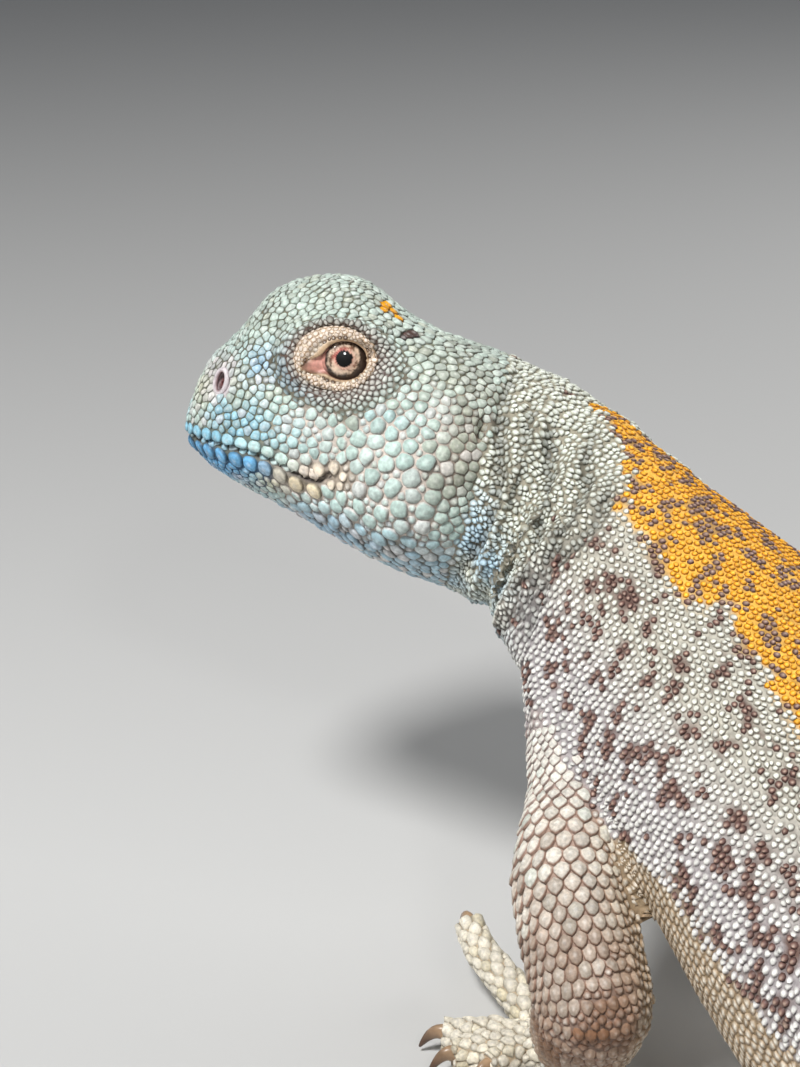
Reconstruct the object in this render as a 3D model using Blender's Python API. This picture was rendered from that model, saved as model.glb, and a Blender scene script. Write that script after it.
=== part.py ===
# A life-size model of a male uromastyx lizard, resting on the floor with its chest raised on its
# front legs and its head turned to its left.
# X runs from the shoulders to the tail, the animal's left side faces -Y, and the floor is Z = 0.
# Tables hold millimetres, and MM turns them into the scene's metres.
import math

import bmesh
import bpy
from mathutils import Matrix, Quaternion, Vector

MM = 0.001
GAP = 0.3
# How far the belly, feet and tail are sunk below the floor before they are cut flat on it
FLOOR_DIP = 0.15
BODY_SIDES = 32
TAIL_SIDES = 16

# The tables' zero is on the floor below the shoulders, and the middle of the model's box is here in them.
MIDDLE_IN_TABLES = (101.4, -1.2, 0.0)

# The head has axes of its own: x from the snout tip to the nape, y to the right side, z to the crown.
SNOUT_TIP = (-50.7, -21.4, 68.7)
HEAD_YAW = 36.2
HEAD_PITCH = 13.9
HEAD_ROLL = 15.6

# x, half width, top, level of the greatest width, bottom
HEAD_STATIONS = [
    (0.15, 2.0, 1.5, -0.2, -1.2),
    (0.5, 3.8, 4.8, 0.3, -2.1),
    (1.5, 5.7, 8.2, 0.8, -3.5),
    (2.9, 7.2, 10.2, 1.2, -4.7),
    (4.6, 8.6, 13.3, 1.6, -5.7),
    (6.3, 9.7, 17.0, 2.0, -6.3),
    (9.0, 10.8, 19.6, 2.6, -7.1),
    (12.5, 11.9, 21.2, 3.4, -7.9),
    (16.0, 12.9, 21.9, 3.6, -8.7),
    (19.5, 14.0, 21.2, 3.2, -9.6),
    (23.5, 15.6, 19.3, 2.6, -10.7),
    (28.0, 17.0, 18.2, 2.2, -11.7),
    (32.5, 17.3, 17.8, 2.2, -12.4),
    (37.0, 15.6, 17.6, 2.4, -12.9),
]
HEAD_ROUNDNESS = 2.25
RINGS_PER_HEAD_SPAN = 2

# Swellings on each side of the head: centre, height of the swelling, radius
HEAD_SWELLINGS = [
    ((17.0, 9.5, 17.5), 1.0, 5.0),
    ((29.0, 15.5, -3.0), 1.2, 6.5),
]
SWELLING_AXIS_LEVEL = 4.0

EYE_CENTRE = (17.4, 8.0, 11.7)
EYE_RADIUS = 5.0
EYE_SEGMENTS = 16
LID_RADII = (9.2, 5.9, 6.6)
LID_TILT = 14.0
EYE_OPENING = (4.5, 3.0, 2.9)
EYE_OPENING_DEPTH = 5.0
EYE_TILT = 27.0

NOSTRIL_CENTRE_X = 4.2
NOSTRIL_LEVEL = 5.3
NOSTRIL_SIZE = (0.65, 1.4, 1.1)
EAR_CENTRE_X = 35.9
EAR_LEVEL = 8.6
EAR_SIZE = (0.6, 1.2, 2.3)

MOUTH_LEVEL = -2.3
MOUTH_GROOVE_RADIUS = 0.38
# Distance from the snout, and rise above the mouth's level
MOUTH_LINE = [(20.0, 0.9), (18.6, -0.4), (16.3, -0.5), (13.5, 0.1), (10.5, 0.4), (7.5, 0.3), (4.5, 0.1), (2.4, 0.0)]
MOUTH_FRONT_X = 0.75

# x, y, z of the centre, half width, up, down, roll in degrees, roundness
BODY_STATIONS = [
    (-13.0, 2.6, 57.8, 15.2, 16.0, 12.9, 9.0, 2.0),
    (-6.0, 1.6, 54.3, 15.9, 17.0, 11.2, 5.0, 2.0),
    (2.0, 0.4, 50.0, 17.0, 18.6, 10.8, 2.0, 2.1),
    (14.0, -1.0, 43.2, 20.6, 20.2, 12.4, 0.0, 2.2),
    (29.0, -2.2, 35.4, 25.8, 20.6, 12.2, 0.0, 2.3),
    (46.0, -3.0, 28.4, 31.6, 19.4, 18.2, 0.0, 2.3),
    (62.0, -3.0, 23.6, 33.4, 18.4, 23.8, 0.0, 2.4),
    (78.0, -2.0, 20.0, 31.0, 17.2, 20.6, 0.0, 2.4),
    (92.0, 0.4, 17.0, 24.5, 15.0, 17.5, 0.0, 2.3),
    (104.0, 3.4, 14.0, 18.4, 13.0, 14.5, 0.0, 2.1),
    (114.0, 6.6, 11.7, 15.2, 11.2, 11.9, 0.0, 2.0),
]
NECK_END = 2.5
NECK_RINGS = 13
TORSO_RINGS = 18

# Folds round the neck, deepest on the side that the head is turned to
NECK_FOLDS = 3.0
NECK_FOLD_DEPTH = 0.9
FAR_SIDE_FOLD = 0.25

# The tail's centre line seen from above
TAIL_PATH = [
    (114.0, 6.6),
    (138.0, 16.0),
    (162.0, 26.5),
    (187.0, 33.5),
    (211.0, 34.0),
    (233.0, 26.5),
    (250.0, 13.0),
]
TAIL_ROOT = (15.2, 11.2)
TAIL_TIP = (3.0, 2.5)
TAIL_TAPER = 1.35
WHORLS = 21
WHORLS_PER_NODE = 7
WHORL_STEP = 0.05
TAIL_SPINES = 9
TAIL_SPINE_ARC = 230.0
TAIL_SPINE_LENGTH = 0.17
TAIL_SPINE_WIDTH = 0.17
TAIL_SPINE_LEAN = 32.0
TAIL_SPINE_SIDES = 3

# Each limb's joints with the half thickness there, from root to end; the foot's last point, with the
# half width and half height of the sole; and each toe's heading, length, end height and claw's heading.
LIMBS = {
    "arm_l": {
        "upper": [
            (5.0, -11.5, 47.0, 7.6),
            (11.5, -20.8, 37.0, 5.7),
            (16.4, -27.9, 31.0, 6.8),
            (24.0, -33.3, 21.9, 6.8),
        ],
        "lower": [(24.0, -33.3, 21.9, 6.8), (19.8, -29.0, 13.5, 6.2), (15.0, -22.5, 5.8, 4.2)],
        "sole": (8.4, -20.2, 2.5, 5.2, 2.9),
        "toes": [
            (112, 5.0, 2.4, 112),
            (163, 19.5, 7.6, 152),
            (-146, 11.2, 2.4, -146),
            (-124, 10.0, 2.4, -124),
            (-96, 7.5, 2.4, -96),
        ],
    },
    "arm_r": {
        "upper": [
            (4.0, 11.5, 46.0, 9.0),
            (10.0, 20.0, 38.0, 7.8),
            (15.0, 27.0, 30.5, 7.0),
            (21.0, 34.0, 22.0, 6.9),
        ],
        "lower": [(21.0, 34.0, 22.0, 6.9), (17.5, 31.5, 13.5, 6.0), (13.0, 28.5, 5.8, 4.2)],
        "sole": (5.5, 28.0, 2.5, 5.2, 2.9),
        "toes": [
            (-110, 6.5, 2.4, -110),
            (-145, 11.5, 2.4, -145),
            (-172, 12.5, 2.4, -172),
            (162, 12.0, 2.4, 162),
            (128, 8.0, 2.4, 128),
        ],
    },
    "leg_l": {
        "upper": [
            (92.0, -9.0, 17.0, 12.0),
            (90.0, -23.0, 17.0, 11.0),
            (85.0, -35.0, 16.0, 9.0),
            (81.0, -45.0, 14.0, 7.6),
        ],
        "lower": [(81.0, -45.0, 14.0, 7.6), (92.0, -50.0, 12.0, 7.2), (108.0, -53.5, 6.6, 4.6)],
        "sole": (103.5, -63.0, 2.5, 5.6, 3.0),
        "toes": [
            (-172, 7.0, 2.4, -172),
            (-150, 11.0, 2.4, -150),
            (-132, 14.0, 2.4, -132),
            (-112, 15.0, 2.4, -112),
            (-72, 9.0, 2.4, -72),
        ],
    },
    "leg_r": {
        "upper": [
            (93.0, 10.0, 17.0, 12.0),
            (91.0, 25.0, 17.0, 11.0),
            (86.0, 37.0, 16.0, 9.0),
            (82.0, 47.0, 14.0, 7.6),
        ],
        "lower": [(82.0, 47.0, 14.0, 7.6), (94.0, 51.0, 12.0, 7.2), (109.0, 53.0, 6.6, 4.6)],
        "sole": (101.0, 60.5, 2.5, 5.6, 3.0),
        "toes": [
            (172, 7.0, 2.4, 172),
            (152, 11.0, 2.4, 152),
            (135, 14.0, 2.4, 135),
            (116, 15.0, 2.4, 116),
            (78, 9.0, 2.4, 78),
        ],
    },
}
LIMB_SIDES = 12
SOLE_ROUNDNESS = 2.5
TOE_SIDES = 7
TOE_RADII = (2.6, 2.45, 2.3, 2.1)
TOE_ARCH = 1.2
CLAW_LENGTH = 2.6
CLAW_RADIUS = 1.25
CLAW_TIP_RADIUS = 0.16
CLAW_DROP = 2.0
CLAW_ARCH = 0.8
CLAW_SIDES = 6
CLAW_RINGS = 5

PALE = (0.72, 0.70, 0.62, 1.0)
BLUE_GREEN = (0.45, 0.62, 0.60, 1.0)
ORANGE = (0.80, 0.50, 0.18, 1.0)
TAIL_BROWN = (0.55, 0.45, 0.33, 1.0)
CLAW_BROWN = (0.30, 0.20, 0.14, 1.0)
EYE_BROWN = (0.12, 0.07, 0.04, 1.0)


def clear_scene():
    for obj in list(bpy.data.objects):
        bpy.data.objects.remove(obj)


def make_material(name, colour, roughness):
    material = bpy.data.materials.new(name)
    material.use_nodes = True
    shader = material.node_tree.nodes["Principled BSDF"]
    shader.inputs["Base Color"].default_value = colour
    shader.inputs["Roughness"].default_value = roughness
    shader.inputs["Metallic"].default_value = 0.0
    return material


def spline(rows, t):
    """A Catmull-Rom curve through the rows of a table. t counts rows from 0."""
    last = len(rows) - 1
    i = min(int(t), last - 1)
    u = t - i
    before = rows[i - 1] if i else [2 * a - b for a, b in zip(rows[0], rows[1])]
    after = rows[i + 2] if i + 2 <= last else [2 * a - b for a, b in zip(rows[last], rows[last - 1])]
    values = []
    for a, b, c, d in zip(before, rows[i], rows[i + 1], after):
        slope_in = (c - a) / 2
        slope_out = (d - b) / 2
        cubic = 2 * b - 2 * c + slope_in + slope_out
        square = 3 * c - 3 * b - 2 * slope_in - slope_out
        values.append(((cubic * u + square) * u + slope_in) * u + b)
    return values


def signed_power(value, exponent):
    return math.copysign(abs(value) ** exponent, value)


def section(sides, half_width, up, down, roundness):
    """A closed outline as pairs of sideways and upward distances."""
    outline = []
    for k in range(sides):
        angle = 2 * math.pi * k / sides
        side = signed_power(math.cos(angle), 2 / roundness) * half_width
        rise = signed_power(math.sin(angle), 2 / roundness)
        outline.append((side, rise * (up if rise > 0 else down)))
    return outline


def cross_axes(ahead, roll=0.0):
    """The sideways and upward directions of a section whose centre line runs ahead."""
    right = Vector((0, 0, 1)).cross(ahead).normalized()
    turn = Quaternion(ahead, -math.radians(roll))
    return turn @ right, turn @ ahead.cross(right).normalized()


def place_outline(outline, centre, ahead, roll=0.0):
    right, up = cross_axes(ahead, roll)
    return [centre + right * side + up * rise for side, rise in outline]


def directions(centres):
    """The direction of a centre line at each of its points."""
    last = len(centres) - 1
    pairs = [(max(k - 1, 0), min(k + 1, last)) for k in range(last + 1)]
    return [(centres[b] - centres[a]).normalized() for a, b in pairs]


def add_object(name, mesh, material=None):
    data = bpy.data.meshes.new(name)
    mesh.to_mesh(data)
    mesh.free()
    data.shade_smooth()
    obj = bpy.data.objects.new(name, data)
    if material:
        data.materials.append(material)
    bpy.context.scene.collection.objects.link(obj)
    return obj


def loft(name, rings, material=None):
    """A closed surface through rings of equal length, with a flat face at each end."""
    mesh = bmesh.new()
    rows = [[mesh.verts.new(p) for p in ring] for ring in rings]
    count = len(rings[0])
    for lower, upper in zip(rows, rows[1:]):
        for k in range(count):
            after = (k + 1) % count
            mesh.faces.new((lower[k], lower[after], upper[after], upper[k]))
    mesh.faces.new(rows[0])
    mesh.faces.new(rows[-1])
    bmesh.ops.recalc_face_normals(mesh, faces=mesh.faces)
    return add_object(name, mesh, material)


def apply_boolean(obj, operation, others):
    """Joins or cuts obj with all the others at once, removes them and keeps one closed surface."""
    group = bpy.data.collections.new("boolean_group")
    for other in others:
        bpy.context.scene.collection.objects.unlink(other)
        group.objects.link(other)
    modifier = obj.modifiers.new(operation.title(), "BOOLEAN")
    modifier.operation = operation
    modifier.operand_type = "COLLECTION"
    modifier.collection = group
    modifier.solver = "EXACT"
    bpy.context.view_layer.objects.active = obj
    bpy.ops.object.modifier_apply(modifier=modifier.name)
    for other in others:
        bpy.data.objects.remove(other)
    bpy.data.collections.remove(group)
    keep_largest_surface(obj)
    return obj


def island_of(vert, unseen):
    """The vertices that edges join to this one, which are taken out of unseen."""
    island = [vert]
    unseen.discard(vert)
    for member in island:
        for edge in member.link_edges:
            other = edge.other_vert(member)
            if other in unseen:
                unseen.discard(other)
                island.append(other)
    return island


def keep_largest_surface(obj):
    mesh = bmesh.new()
    mesh.from_mesh(obj.data)
    unseen = set(mesh.verts)
    islands = []
    while unseen:
        islands.append(island_of(next(iter(unseen)), unseen))
    largest = max(islands, key=len)
    scraps = [vert for island in islands if island is not largest for vert in island]
    bmesh.ops.delete(mesh, geom=scraps, context="VERTS")
    mesh.to_mesh(obj.data)
    mesh.free()


def half_space(at, ahead, reach=60.0):
    """A cube on the far side of a plane, for cutting away all that lies ahead of it."""
    mesh = bmesh.new()
    bmesh.ops.create_cube(mesh, size=reach)
    turn = ahead.to_track_quat("Z", "Y").to_matrix().to_4x4()
    place = Matrix.Translation(at + ahead * reach / 2) @ turn
    bmesh.ops.transform(mesh, matrix=place, verts=mesh.verts)
    return add_object("cutter", mesh)


def floor_cutter():
    return half_space(Vector((70.0, 0.0, 0.0)), Vector((0, 0, -1)), reach=500.0)


def ellipsoid(name, centre, radii, turn, segments, material=None):
    mesh = bmesh.new()
    bmesh.ops.create_uvsphere(mesh, u_segments=segments, v_segments=segments // 2, radius=1.0)
    place = Matrix.Translation(centre) @ turn @ Matrix.Diagonal((*radii, 1.0))
    bmesh.ops.transform(mesh, matrix=place, verts=mesh.verts)
    return add_object(name, mesh, material)


def tube_rings(rows, sides, rings_per_span, round_root, round_end):
    """Round sections along a smooth curve through rows of x, y, z and radius."""
    count = (len(rows) - 1) * rings_per_span
    samples = [spline(rows, k / rings_per_span) for k in range(count + 1)]
    centres = [Vector(sample[:3]) for sample in samples]
    aheads = directions(centres)
    places = [(c, a, s[3]) for c, a, s in zip(centres, aheads, samples)]
    if round_root:
        places = dome(places[0], -1)[::-1] + places
    if round_end:
        places = places + dome(places[-1], 1)
    return [place_outline(section(sides, r, r, r, 2.0), c, a) for c, a, r in places]


def dome(place, way):
    """The sections that round off a tube's end, from its rim outwards."""
    centre, ahead, radius = place
    steps = [math.radians(lift) for lift in (32.0, 60.0, 82.0)]
    return [(centre + ahead * way * radius * math.sin(a), ahead, radius * math.cos(a)) for a in steps]


def head_matrix():
    yaw = Quaternion((0, 0, 1), math.radians(HEAD_YAW))
    pitch = Quaternion((0, 1, 0), math.radians(HEAD_PITCH))
    roll = Quaternion((1, 0, 0), -math.radians(HEAD_ROLL))
    return Matrix.Translation(SNOUT_TIP) @ (yaw @ pitch @ roll).to_matrix().to_4x4()


def swollen(local):
    """Pushes a point of the head outwards where a brow or a jaw muscle lies."""
    for (x, y, z), height, radius in HEAD_SWELLINGS:
        centre = Vector((x, math.copysign(y, local.y), z))
        near = math.exp(-(((local - centre).length / radius) ** 2))
        outwards = Vector((0, local.y, local.z - SWELLING_AXIS_LEVEL)).normalized()
        local = local + outwards * height * near
    return local


def head_ring(t):
    x, half_width, top, middle, bottom = spline(HEAD_STATIONS, t)
    outline = section(BODY_SIDES, half_width, top - middle, middle - bottom, HEAD_ROUNDNESS)
    return [swollen(Vector((x, side, middle + rise))) for side, rise in outline]


def head_rings():
    count = (len(HEAD_STATIONS) - 1) * RINGS_PER_HEAD_SPAN
    return [head_ring(k / RINGS_PER_HEAD_SPAN) for k in range(count + 1)]


def cheek_point(x, z, side):
    """Where the head's skin is at a distance from the snout and a level, on side -1 or 1."""
    starts = [row[0] for row in HEAD_STATIONS]
    span = max(i for i in range(len(starts) - 1) if starts[i] <= x)
    t = span + (x - starts[span]) / (starts[span + 1] - starts[span])
    ring = sorted((p for p in head_ring(t) if p.y * side > 0), key=lambda p: p.z)
    low, high = next((a, b) for a, b in zip(ring, ring[1:]) if a.z <= z <= b.z)
    return low.lerp(high, (z - low.z) / (high.z - low.z))


def mouth_cutter():
    """A thin tube along the lips, from one corner of the mouth round the snout to the other."""
    left = [cheek_point(x, MOUTH_LEVEL + rise, -1) for x, rise in MOUTH_LINE]
    right = [cheek_point(x, MOUTH_LEVEL + rise, 1) for x, rise in MOUTH_LINE]
    path = left + [Vector((MOUTH_FRONT_X, 0.0, MOUTH_LEVEL))] + right[::-1]
    rows = [(*p, MOUTH_GROOVE_RADIUS) for p in path]
    return loft("cutter", tube_rings(rows, 5, 1, False, False))


def eye_cutters(side):
    """The ball-shaped socket and the opening between the lids, which is pointed at its ends."""
    x, y, z = EYE_CENTRE
    socket_radius = EYE_RADIUS + GAP
    socket = ellipsoid("cutter", Vector((x, y * side, z)), [socket_radius] * 3, Matrix(), EYE_SEGMENTS)
    opening = ellipsoid("cutter", Vector(), EYE_OPENING, Matrix(), EYE_SEGMENTS)
    for vert in opening.data.vertices:
        vert.co.z *= 1 - 0.45 * (vert.co.x / EYE_OPENING[0]) ** 2
    middle = Vector((x, (y + EYE_OPENING_DEPTH) * side, z))
    opening.data.transform(Matrix.Translation(middle) @ tilted(EYE_TILT))
    return [socket, opening]


def tilted(degrees):
    """Lifts the rear of what lies on the side of the head."""
    return Matrix.Rotation(math.radians(-degrees), 4, "Y")


def build_head(skin, eye_colour):
    head = loft("head", head_rings(), skin)
    x, y, z = EYE_CENTRE
    lids = [
        ellipsoid("lids", Vector((x, y * side, z)), LID_RADII, tilted(LID_TILT), EYE_SEGMENTS)
        for side in (-1, 1)
    ]
    apply_boolean(head, "UNION", lids)
    cutters = [mouth_cutter()]
    for side in (-1, 1):
        cutters += eye_cutters(side)
        nostril = cheek_point(NOSTRIL_CENTRE_X, NOSTRIL_LEVEL, side)
        cutters.append(ellipsoid("cutter", nostril, NOSTRIL_SIZE, Matrix(), 10))
        ear = cheek_point(EAR_CENTRE_X, EAR_LEVEL, side)
        cutters.append(ellipsoid("cutter", ear, EAR_SIZE, Matrix(), 12))
    apply_boolean(head, "DIFFERENCE", cutters)
    nodes = [head]
    for name, side in (("eye_l", -1), ("eye_r", 1)):
        centre = Vector((x, y * side, z))
        nodes.append(ellipsoid(name, centre, [EYE_RADIUS] * 3, Matrix(), EYE_SEGMENTS, eye_colour))
    for obj in nodes:
        obj.data.transform(head_matrix())
    return nodes


def body_rows():
    """The body's stations, with the head's last section in front of them."""
    x, half_width, top, middle, bottom = HEAD_STATIONS[-1]
    nape = head_matrix() @ Vector((x, 0.0, middle))
    return [(*nape, half_width, top - middle, middle - bottom, HEAD_ROLL, HEAD_ROUNDNESS)] + BODY_STATIONS


def fold(t, side_share):
    """How far the neck's folds stand out at a place along it. side_share is -1 on the left."""
    wave = -math.sin(2 * math.pi * NECK_FOLDS * t / NECK_END)
    fade = min(1.0, 2 * math.sin(math.pi * min(t / NECK_END, 1.0)))
    depth = FAR_SIDE_FOLD + (1 - FAR_SIDE_FOLD) * max(0.0, -side_share)
    return NECK_FOLD_DEPTH * wave * fade * depth


def body_direction(rows, t):
    step = 0.05
    after = min(t + step, len(rows) - 1)
    return (Vector(spline(rows, after)[:3]) - Vector(spline(rows, t - step)[:3])).normalized()


def body_ring(t, grow=0.0, shift=0.0):
    rows = body_rows()
    x, y, z, half_width, up, down, roll, roundness = spline(rows, t)
    ahead = body_direction(rows, max(t, NECK_END))
    tail_start = len(rows) - 2
    if t < NECK_END:
        head_ahead = head_matrix().to_3x3() @ Vector((1, 0, 0))
        ahead = head_ahead.lerp(ahead, t / NECK_END).normalized()
    if t > tail_start:
        ahead = ahead.lerp(tail_place(0.0)[1], t - tail_start).normalized()
    outline = []
    for side, rise in section(BODY_SIDES, half_width, up, down, roundness):
        swell = fold(t, side / half_width) + grow
        outline.append((side * (1 + swell / half_width), rise * (1 + swell / up)))
    return place_outline(outline, Vector((x, y, z)) + ahead * shift, ahead, roll)


def body_rings(start, end, count, grow=0.0, shift=0.0):
    steps = [start + (end - start) * k / (count - 1) for k in range(count)]
    rings = [body_ring(t, grow) for t in steps]
    rings[0] = body_ring(steps[0], grow, shift)
    return rings


def build_trunk(neck_skin, torso_skin):
    last = len(body_rows()) - 1
    head_end = [head_matrix() @ p for p in head_ring(len(HEAD_STATIONS) - 1)]
    gap = head_matrix().to_3x3() @ Vector((GAP, 0, 0))
    neck_rings = body_rings(0.0, NECK_END, NECK_RINGS)
    neck_rings[0] = [p + gap for p in head_end]
    neck = loft("neck", neck_rings, neck_skin)
    torso = loft("torso", body_rings(NECK_END, last, TORSO_RINGS, shift=GAP), torso_skin)
    apply_boolean(torso, "DIFFERENCE", [floor_cutter()])
    return [neck, torso]


def trunk_cutter():
    """The neck and torso a gap larger all round, which cuts the limbs' roots to lie on the skin."""
    last = len(body_rows()) - 1
    return loft("cutter", body_rings(0.0, last, NECK_RINGS + TORSO_RINGS, grow=GAP))


def tail_point(share):
    """A point on the tail's centre line and the tail's half width and half height there."""
    left = 1 - share**TAIL_TAPER
    half_width, half_height = (tip + (root - tip) * left for root, tip in zip(TAIL_ROOT, TAIL_TIP))
    x, y = spline(TAIL_PATH, share * (len(TAIL_PATH) - 1))
    return Vector((x, y, half_height * (1 + WHORL_STEP) - FLOOR_DIP)), half_width, half_height


def tail_place(share):
    """The centre, direction, half width and half height of the tail at a share of its length."""
    centre, half_width, half_height = tail_point(share)
    before = tail_point(max(share - 0.01, 0.0))[0]
    after = tail_point(min(share + 0.01, 1.0))[0]
    return centre, (after - before).normalized(), half_width, half_height


def tail_ring(share, scale, shift=0.0):
    centre, ahead, half_width, half_height = tail_place(share)
    outline = section(TAIL_SIDES, half_width * scale, half_height * scale, half_height * scale, 2.0)
    return place_outline(outline, centre + ahead * shift, ahead)


def tail_end(share):
    """The rings that close the tail in a short blunt point."""
    centre, ahead, half_width, half_height = tail_place(share)
    rings = []
    for reach, scale in ((0.9, 0.85), (1.7, 0.6), (2.3, 0.25)):
        outline = section(TAIL_SIDES, half_width * scale, half_height * scale, half_height * scale, 2.0)
        rings.append(place_outline(outline, centre + ahead * half_width * reach, ahead))
    return rings


def tail_spine(share, angle):
    """One spiny scale at the rear edge of a whorl, leaning back, its base sunk in the tail."""
    centre, ahead, half_width, half_height = tail_place(share)
    right, up = cross_axes(ahead)
    out = (right * math.cos(angle) * half_height + up * math.sin(angle) * half_width).normalized()
    skin = centre + right * math.cos(angle) * half_width + up * math.sin(angle) * half_height
    size = half_width + half_height
    length = size * TAIL_SPINE_LENGTH * (1.0 + 0.25 * abs(math.cos(angle)))
    lean = math.radians(TAIL_SPINE_LEAN)
    points_to = (ahead * math.cos(lean) + out * math.sin(lean)).normalized()
    mesh = bmesh.new()
    base = size * TAIL_SPINE_WIDTH / 2
    bmesh.ops.create_cone(
        mesh, cap_ends=True, segments=TAIL_SPINE_SIDES, radius1=base, radius2=0.0, depth=length
    )
    turn = points_to.to_track_quat("Z", "Y").to_matrix().to_4x4()
    base_sunk = skin - out * size * TAIL_SPINE_WIDTH * 0.22
    place = Matrix.Translation(base_sunk + points_to * length * 0.3) @ turn
    bmesh.ops.transform(mesh, matrix=place, verts=mesh.verts)
    return add_object("spine", mesh)


def spine_angles():
    start = math.radians(90.0 - TAIL_SPINE_ARC / 2)
    step = math.radians(TAIL_SPINE_ARC) / (TAIL_SPINES - 1)
    return [start + step * k for k in range(TAIL_SPINES)]


def build_tail(skin):
    nodes = []
    for number, name in enumerate(("tail_root", "tail_middle", "tail_tip")):
        first = number * WHORLS_PER_NODE
        rings, spines = [], []
        for whorl in range(first, first + WHORLS_PER_NODE):
            front, rear = (whorl + 0.12) / WHORLS, (whorl + 1) / WHORLS
            if whorl == first:
                rings.append(tail_ring(whorl / WHORLS, 1 - WHORL_STEP, shift=GAP))
            rings.append(tail_ring(front, 1 - WHORL_STEP))
            rings.append(tail_ring(rear, 1 + WHORL_STEP))
            spines += [tail_spine((whorl + 0.9) / WHORLS, angle) for angle in spine_angles()]
        if number == 2:
            rings += tail_end(rear)
        tail = loft(name, rings, skin)
        apply_boolean(tail, "UNION", spines)
        cutters = [floor_cutter()]
        if number < 2:
            centre, ahead, _, _ = tail_place(rear)
            cutters.append(half_space(centre, ahead, reach=50.0))
        apply_boolean(tail, "DIFFERENCE", cutters)
        nodes.append(tail)
    return nodes


def joint_plane(incoming, outgoing):
    """The plane that halves the bend between two straight stretches."""
    at = Vector(incoming[-1][:3])
    into = (at - Vector(incoming[-2][:3])).normalized()
    away = (Vector(outgoing[1][:3]) - at).normalized()
    return at, (into + away).normalized()


def build_foot(name, wrist, sole, toes, ahead_of_wrist, skin, claw_colour):
    """The sole with its toes as one body, and each claw on its own."""
    *front, half_width, half_height = sole
    start, front = Vector(wrist[:3]), Vector(front)
    ahead = (front - start).normalized()
    rows = [
        (*(start - ahead * 1.5), wrist[3] * 1.05, wrist[3] * 0.95),
        (*start.lerp(front, 0.5), half_width * 0.95, half_height * 1.15),
        (*front, half_width, half_height),
        (*(front + ahead * 2.6), half_width * 0.75, half_height * 0.72),
    ]
    samples = [spline(rows, k / 2) for k in range(7)]
    centres = [Vector(s[:3]) for s in samples]
    rings = [
        place_outline(section(LIMB_SIDES, s[3], s[4], s[4], SOLE_ROUNDNESS), c, a)
        for s, c, a in zip(samples, centres, directions(centres))
    ]
    foot = loft(name, rings, skin)
    right, _ = cross_axes(ahead)
    pieces, claws = [], []
    for number, (heading, length, end_height, claw_heading) in enumerate(toes):
        way, claw_way = level_direction(heading), level_direction(claw_heading)
        root = front + right * way.dot(right) * half_width * 0.55
        root.z = half_height * 0.85
        lift = Vector((0.0, 0.0, (end_height - root.z) / 3))
        arch = Vector((0.0, 0.0, TOE_ARCH))
        middle = root + way * length * 0.45 + lift + arch * 0.6
        bend = root + way * length * 0.78 + lift * 2 + arch * 0.3
        path = [root, middle, bend, bend + claw_way * length * 0.22 + lift]
        toe_rows = [(*p, radius) for p, radius in zip(path, TOE_RADII)]
        rings = tube_rings(toe_rows, TOE_SIDES, 2, False, False)
        pieces.append(loft("toe", rings))
        toe_ahead = (ring_centre(rings[-1]) - ring_centre(rings[-2])).normalized()
        claws.append(build_claw(f"{name}_claw_{number + 1}", path[-1], toe_ahead, claw_colour))
    apply_boolean(foot, "UNION", pieces)
    wrist_cutter = half_space(start + ahead_of_wrist * GAP, -ahead_of_wrist)
    apply_boolean(foot, "DIFFERENCE", [floor_cutter(), wrist_cutter])
    return [foot] + claws


def ring_centre(ring):
    return sum(ring, Vector()) / len(ring)


def level_direction(heading):
    return Vector((math.cos(math.radians(heading)), math.sin(math.radians(heading)), 0.0))


def build_claw(name, toe_end, ahead, colour):
    rings = []
    for k in range(CLAW_RINGS):
        share = k / (CLAW_RINGS - 1)
        centre = toe_end + ahead * (GAP + CLAW_LENGTH * share)
        centre.z += CLAW_ARCH * math.sin(math.pi * share) - CLAW_DROP * share**2
        centre.z = max(centre.z, CLAW_TIP_RADIUS + GAP)
        radius = CLAW_TIP_RADIUS + (CLAW_RADIUS - CLAW_TIP_RADIUS) * (1 - share) ** 0.8
        rings.append(place_outline(section(CLAW_SIDES, radius * 0.8, radius, radius, 2.0), centre, ahead))
    return loft(name, rings, colour)


def build_limb(name, limb, skin, claw_colour):
    upper_rows, lower_rows = limb["upper"], limb["lower"]
    *sole_front, sole_half_width, sole_half_height = limb["sole"]
    upper = loft(f"{name}_upper", tube_rings(upper_rows, LIMB_SIDES, 2, True, True), skin)
    lower = loft(f"{name}_lower", tube_rings(lower_rows, LIMB_SIDES, 2, True, True), skin)
    bend, bend_ahead = joint_plane(upper_rows, lower_rows)
    wrist, wrist_ahead = joint_plane(lower_rows, [lower_rows[-1], sole_front])
    apply_boolean(upper, "DIFFERENCE", [trunk_cutter(), half_space(bend, bend_ahead)])
    elbow_cutter = half_space(bend + bend_ahead * GAP, -bend_ahead)
    apply_boolean(lower, "DIFFERENCE", [elbow_cutter, half_space(wrist, wrist_ahead), floor_cutter()])
    foot_name, wrist_row = f"{name}_foot", lower_rows[-1]
    foot = build_foot(foot_name, wrist_row, limb["sole"], limb["toes"], wrist_ahead, skin, claw_colour)
    return [upper, lower] + foot


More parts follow.
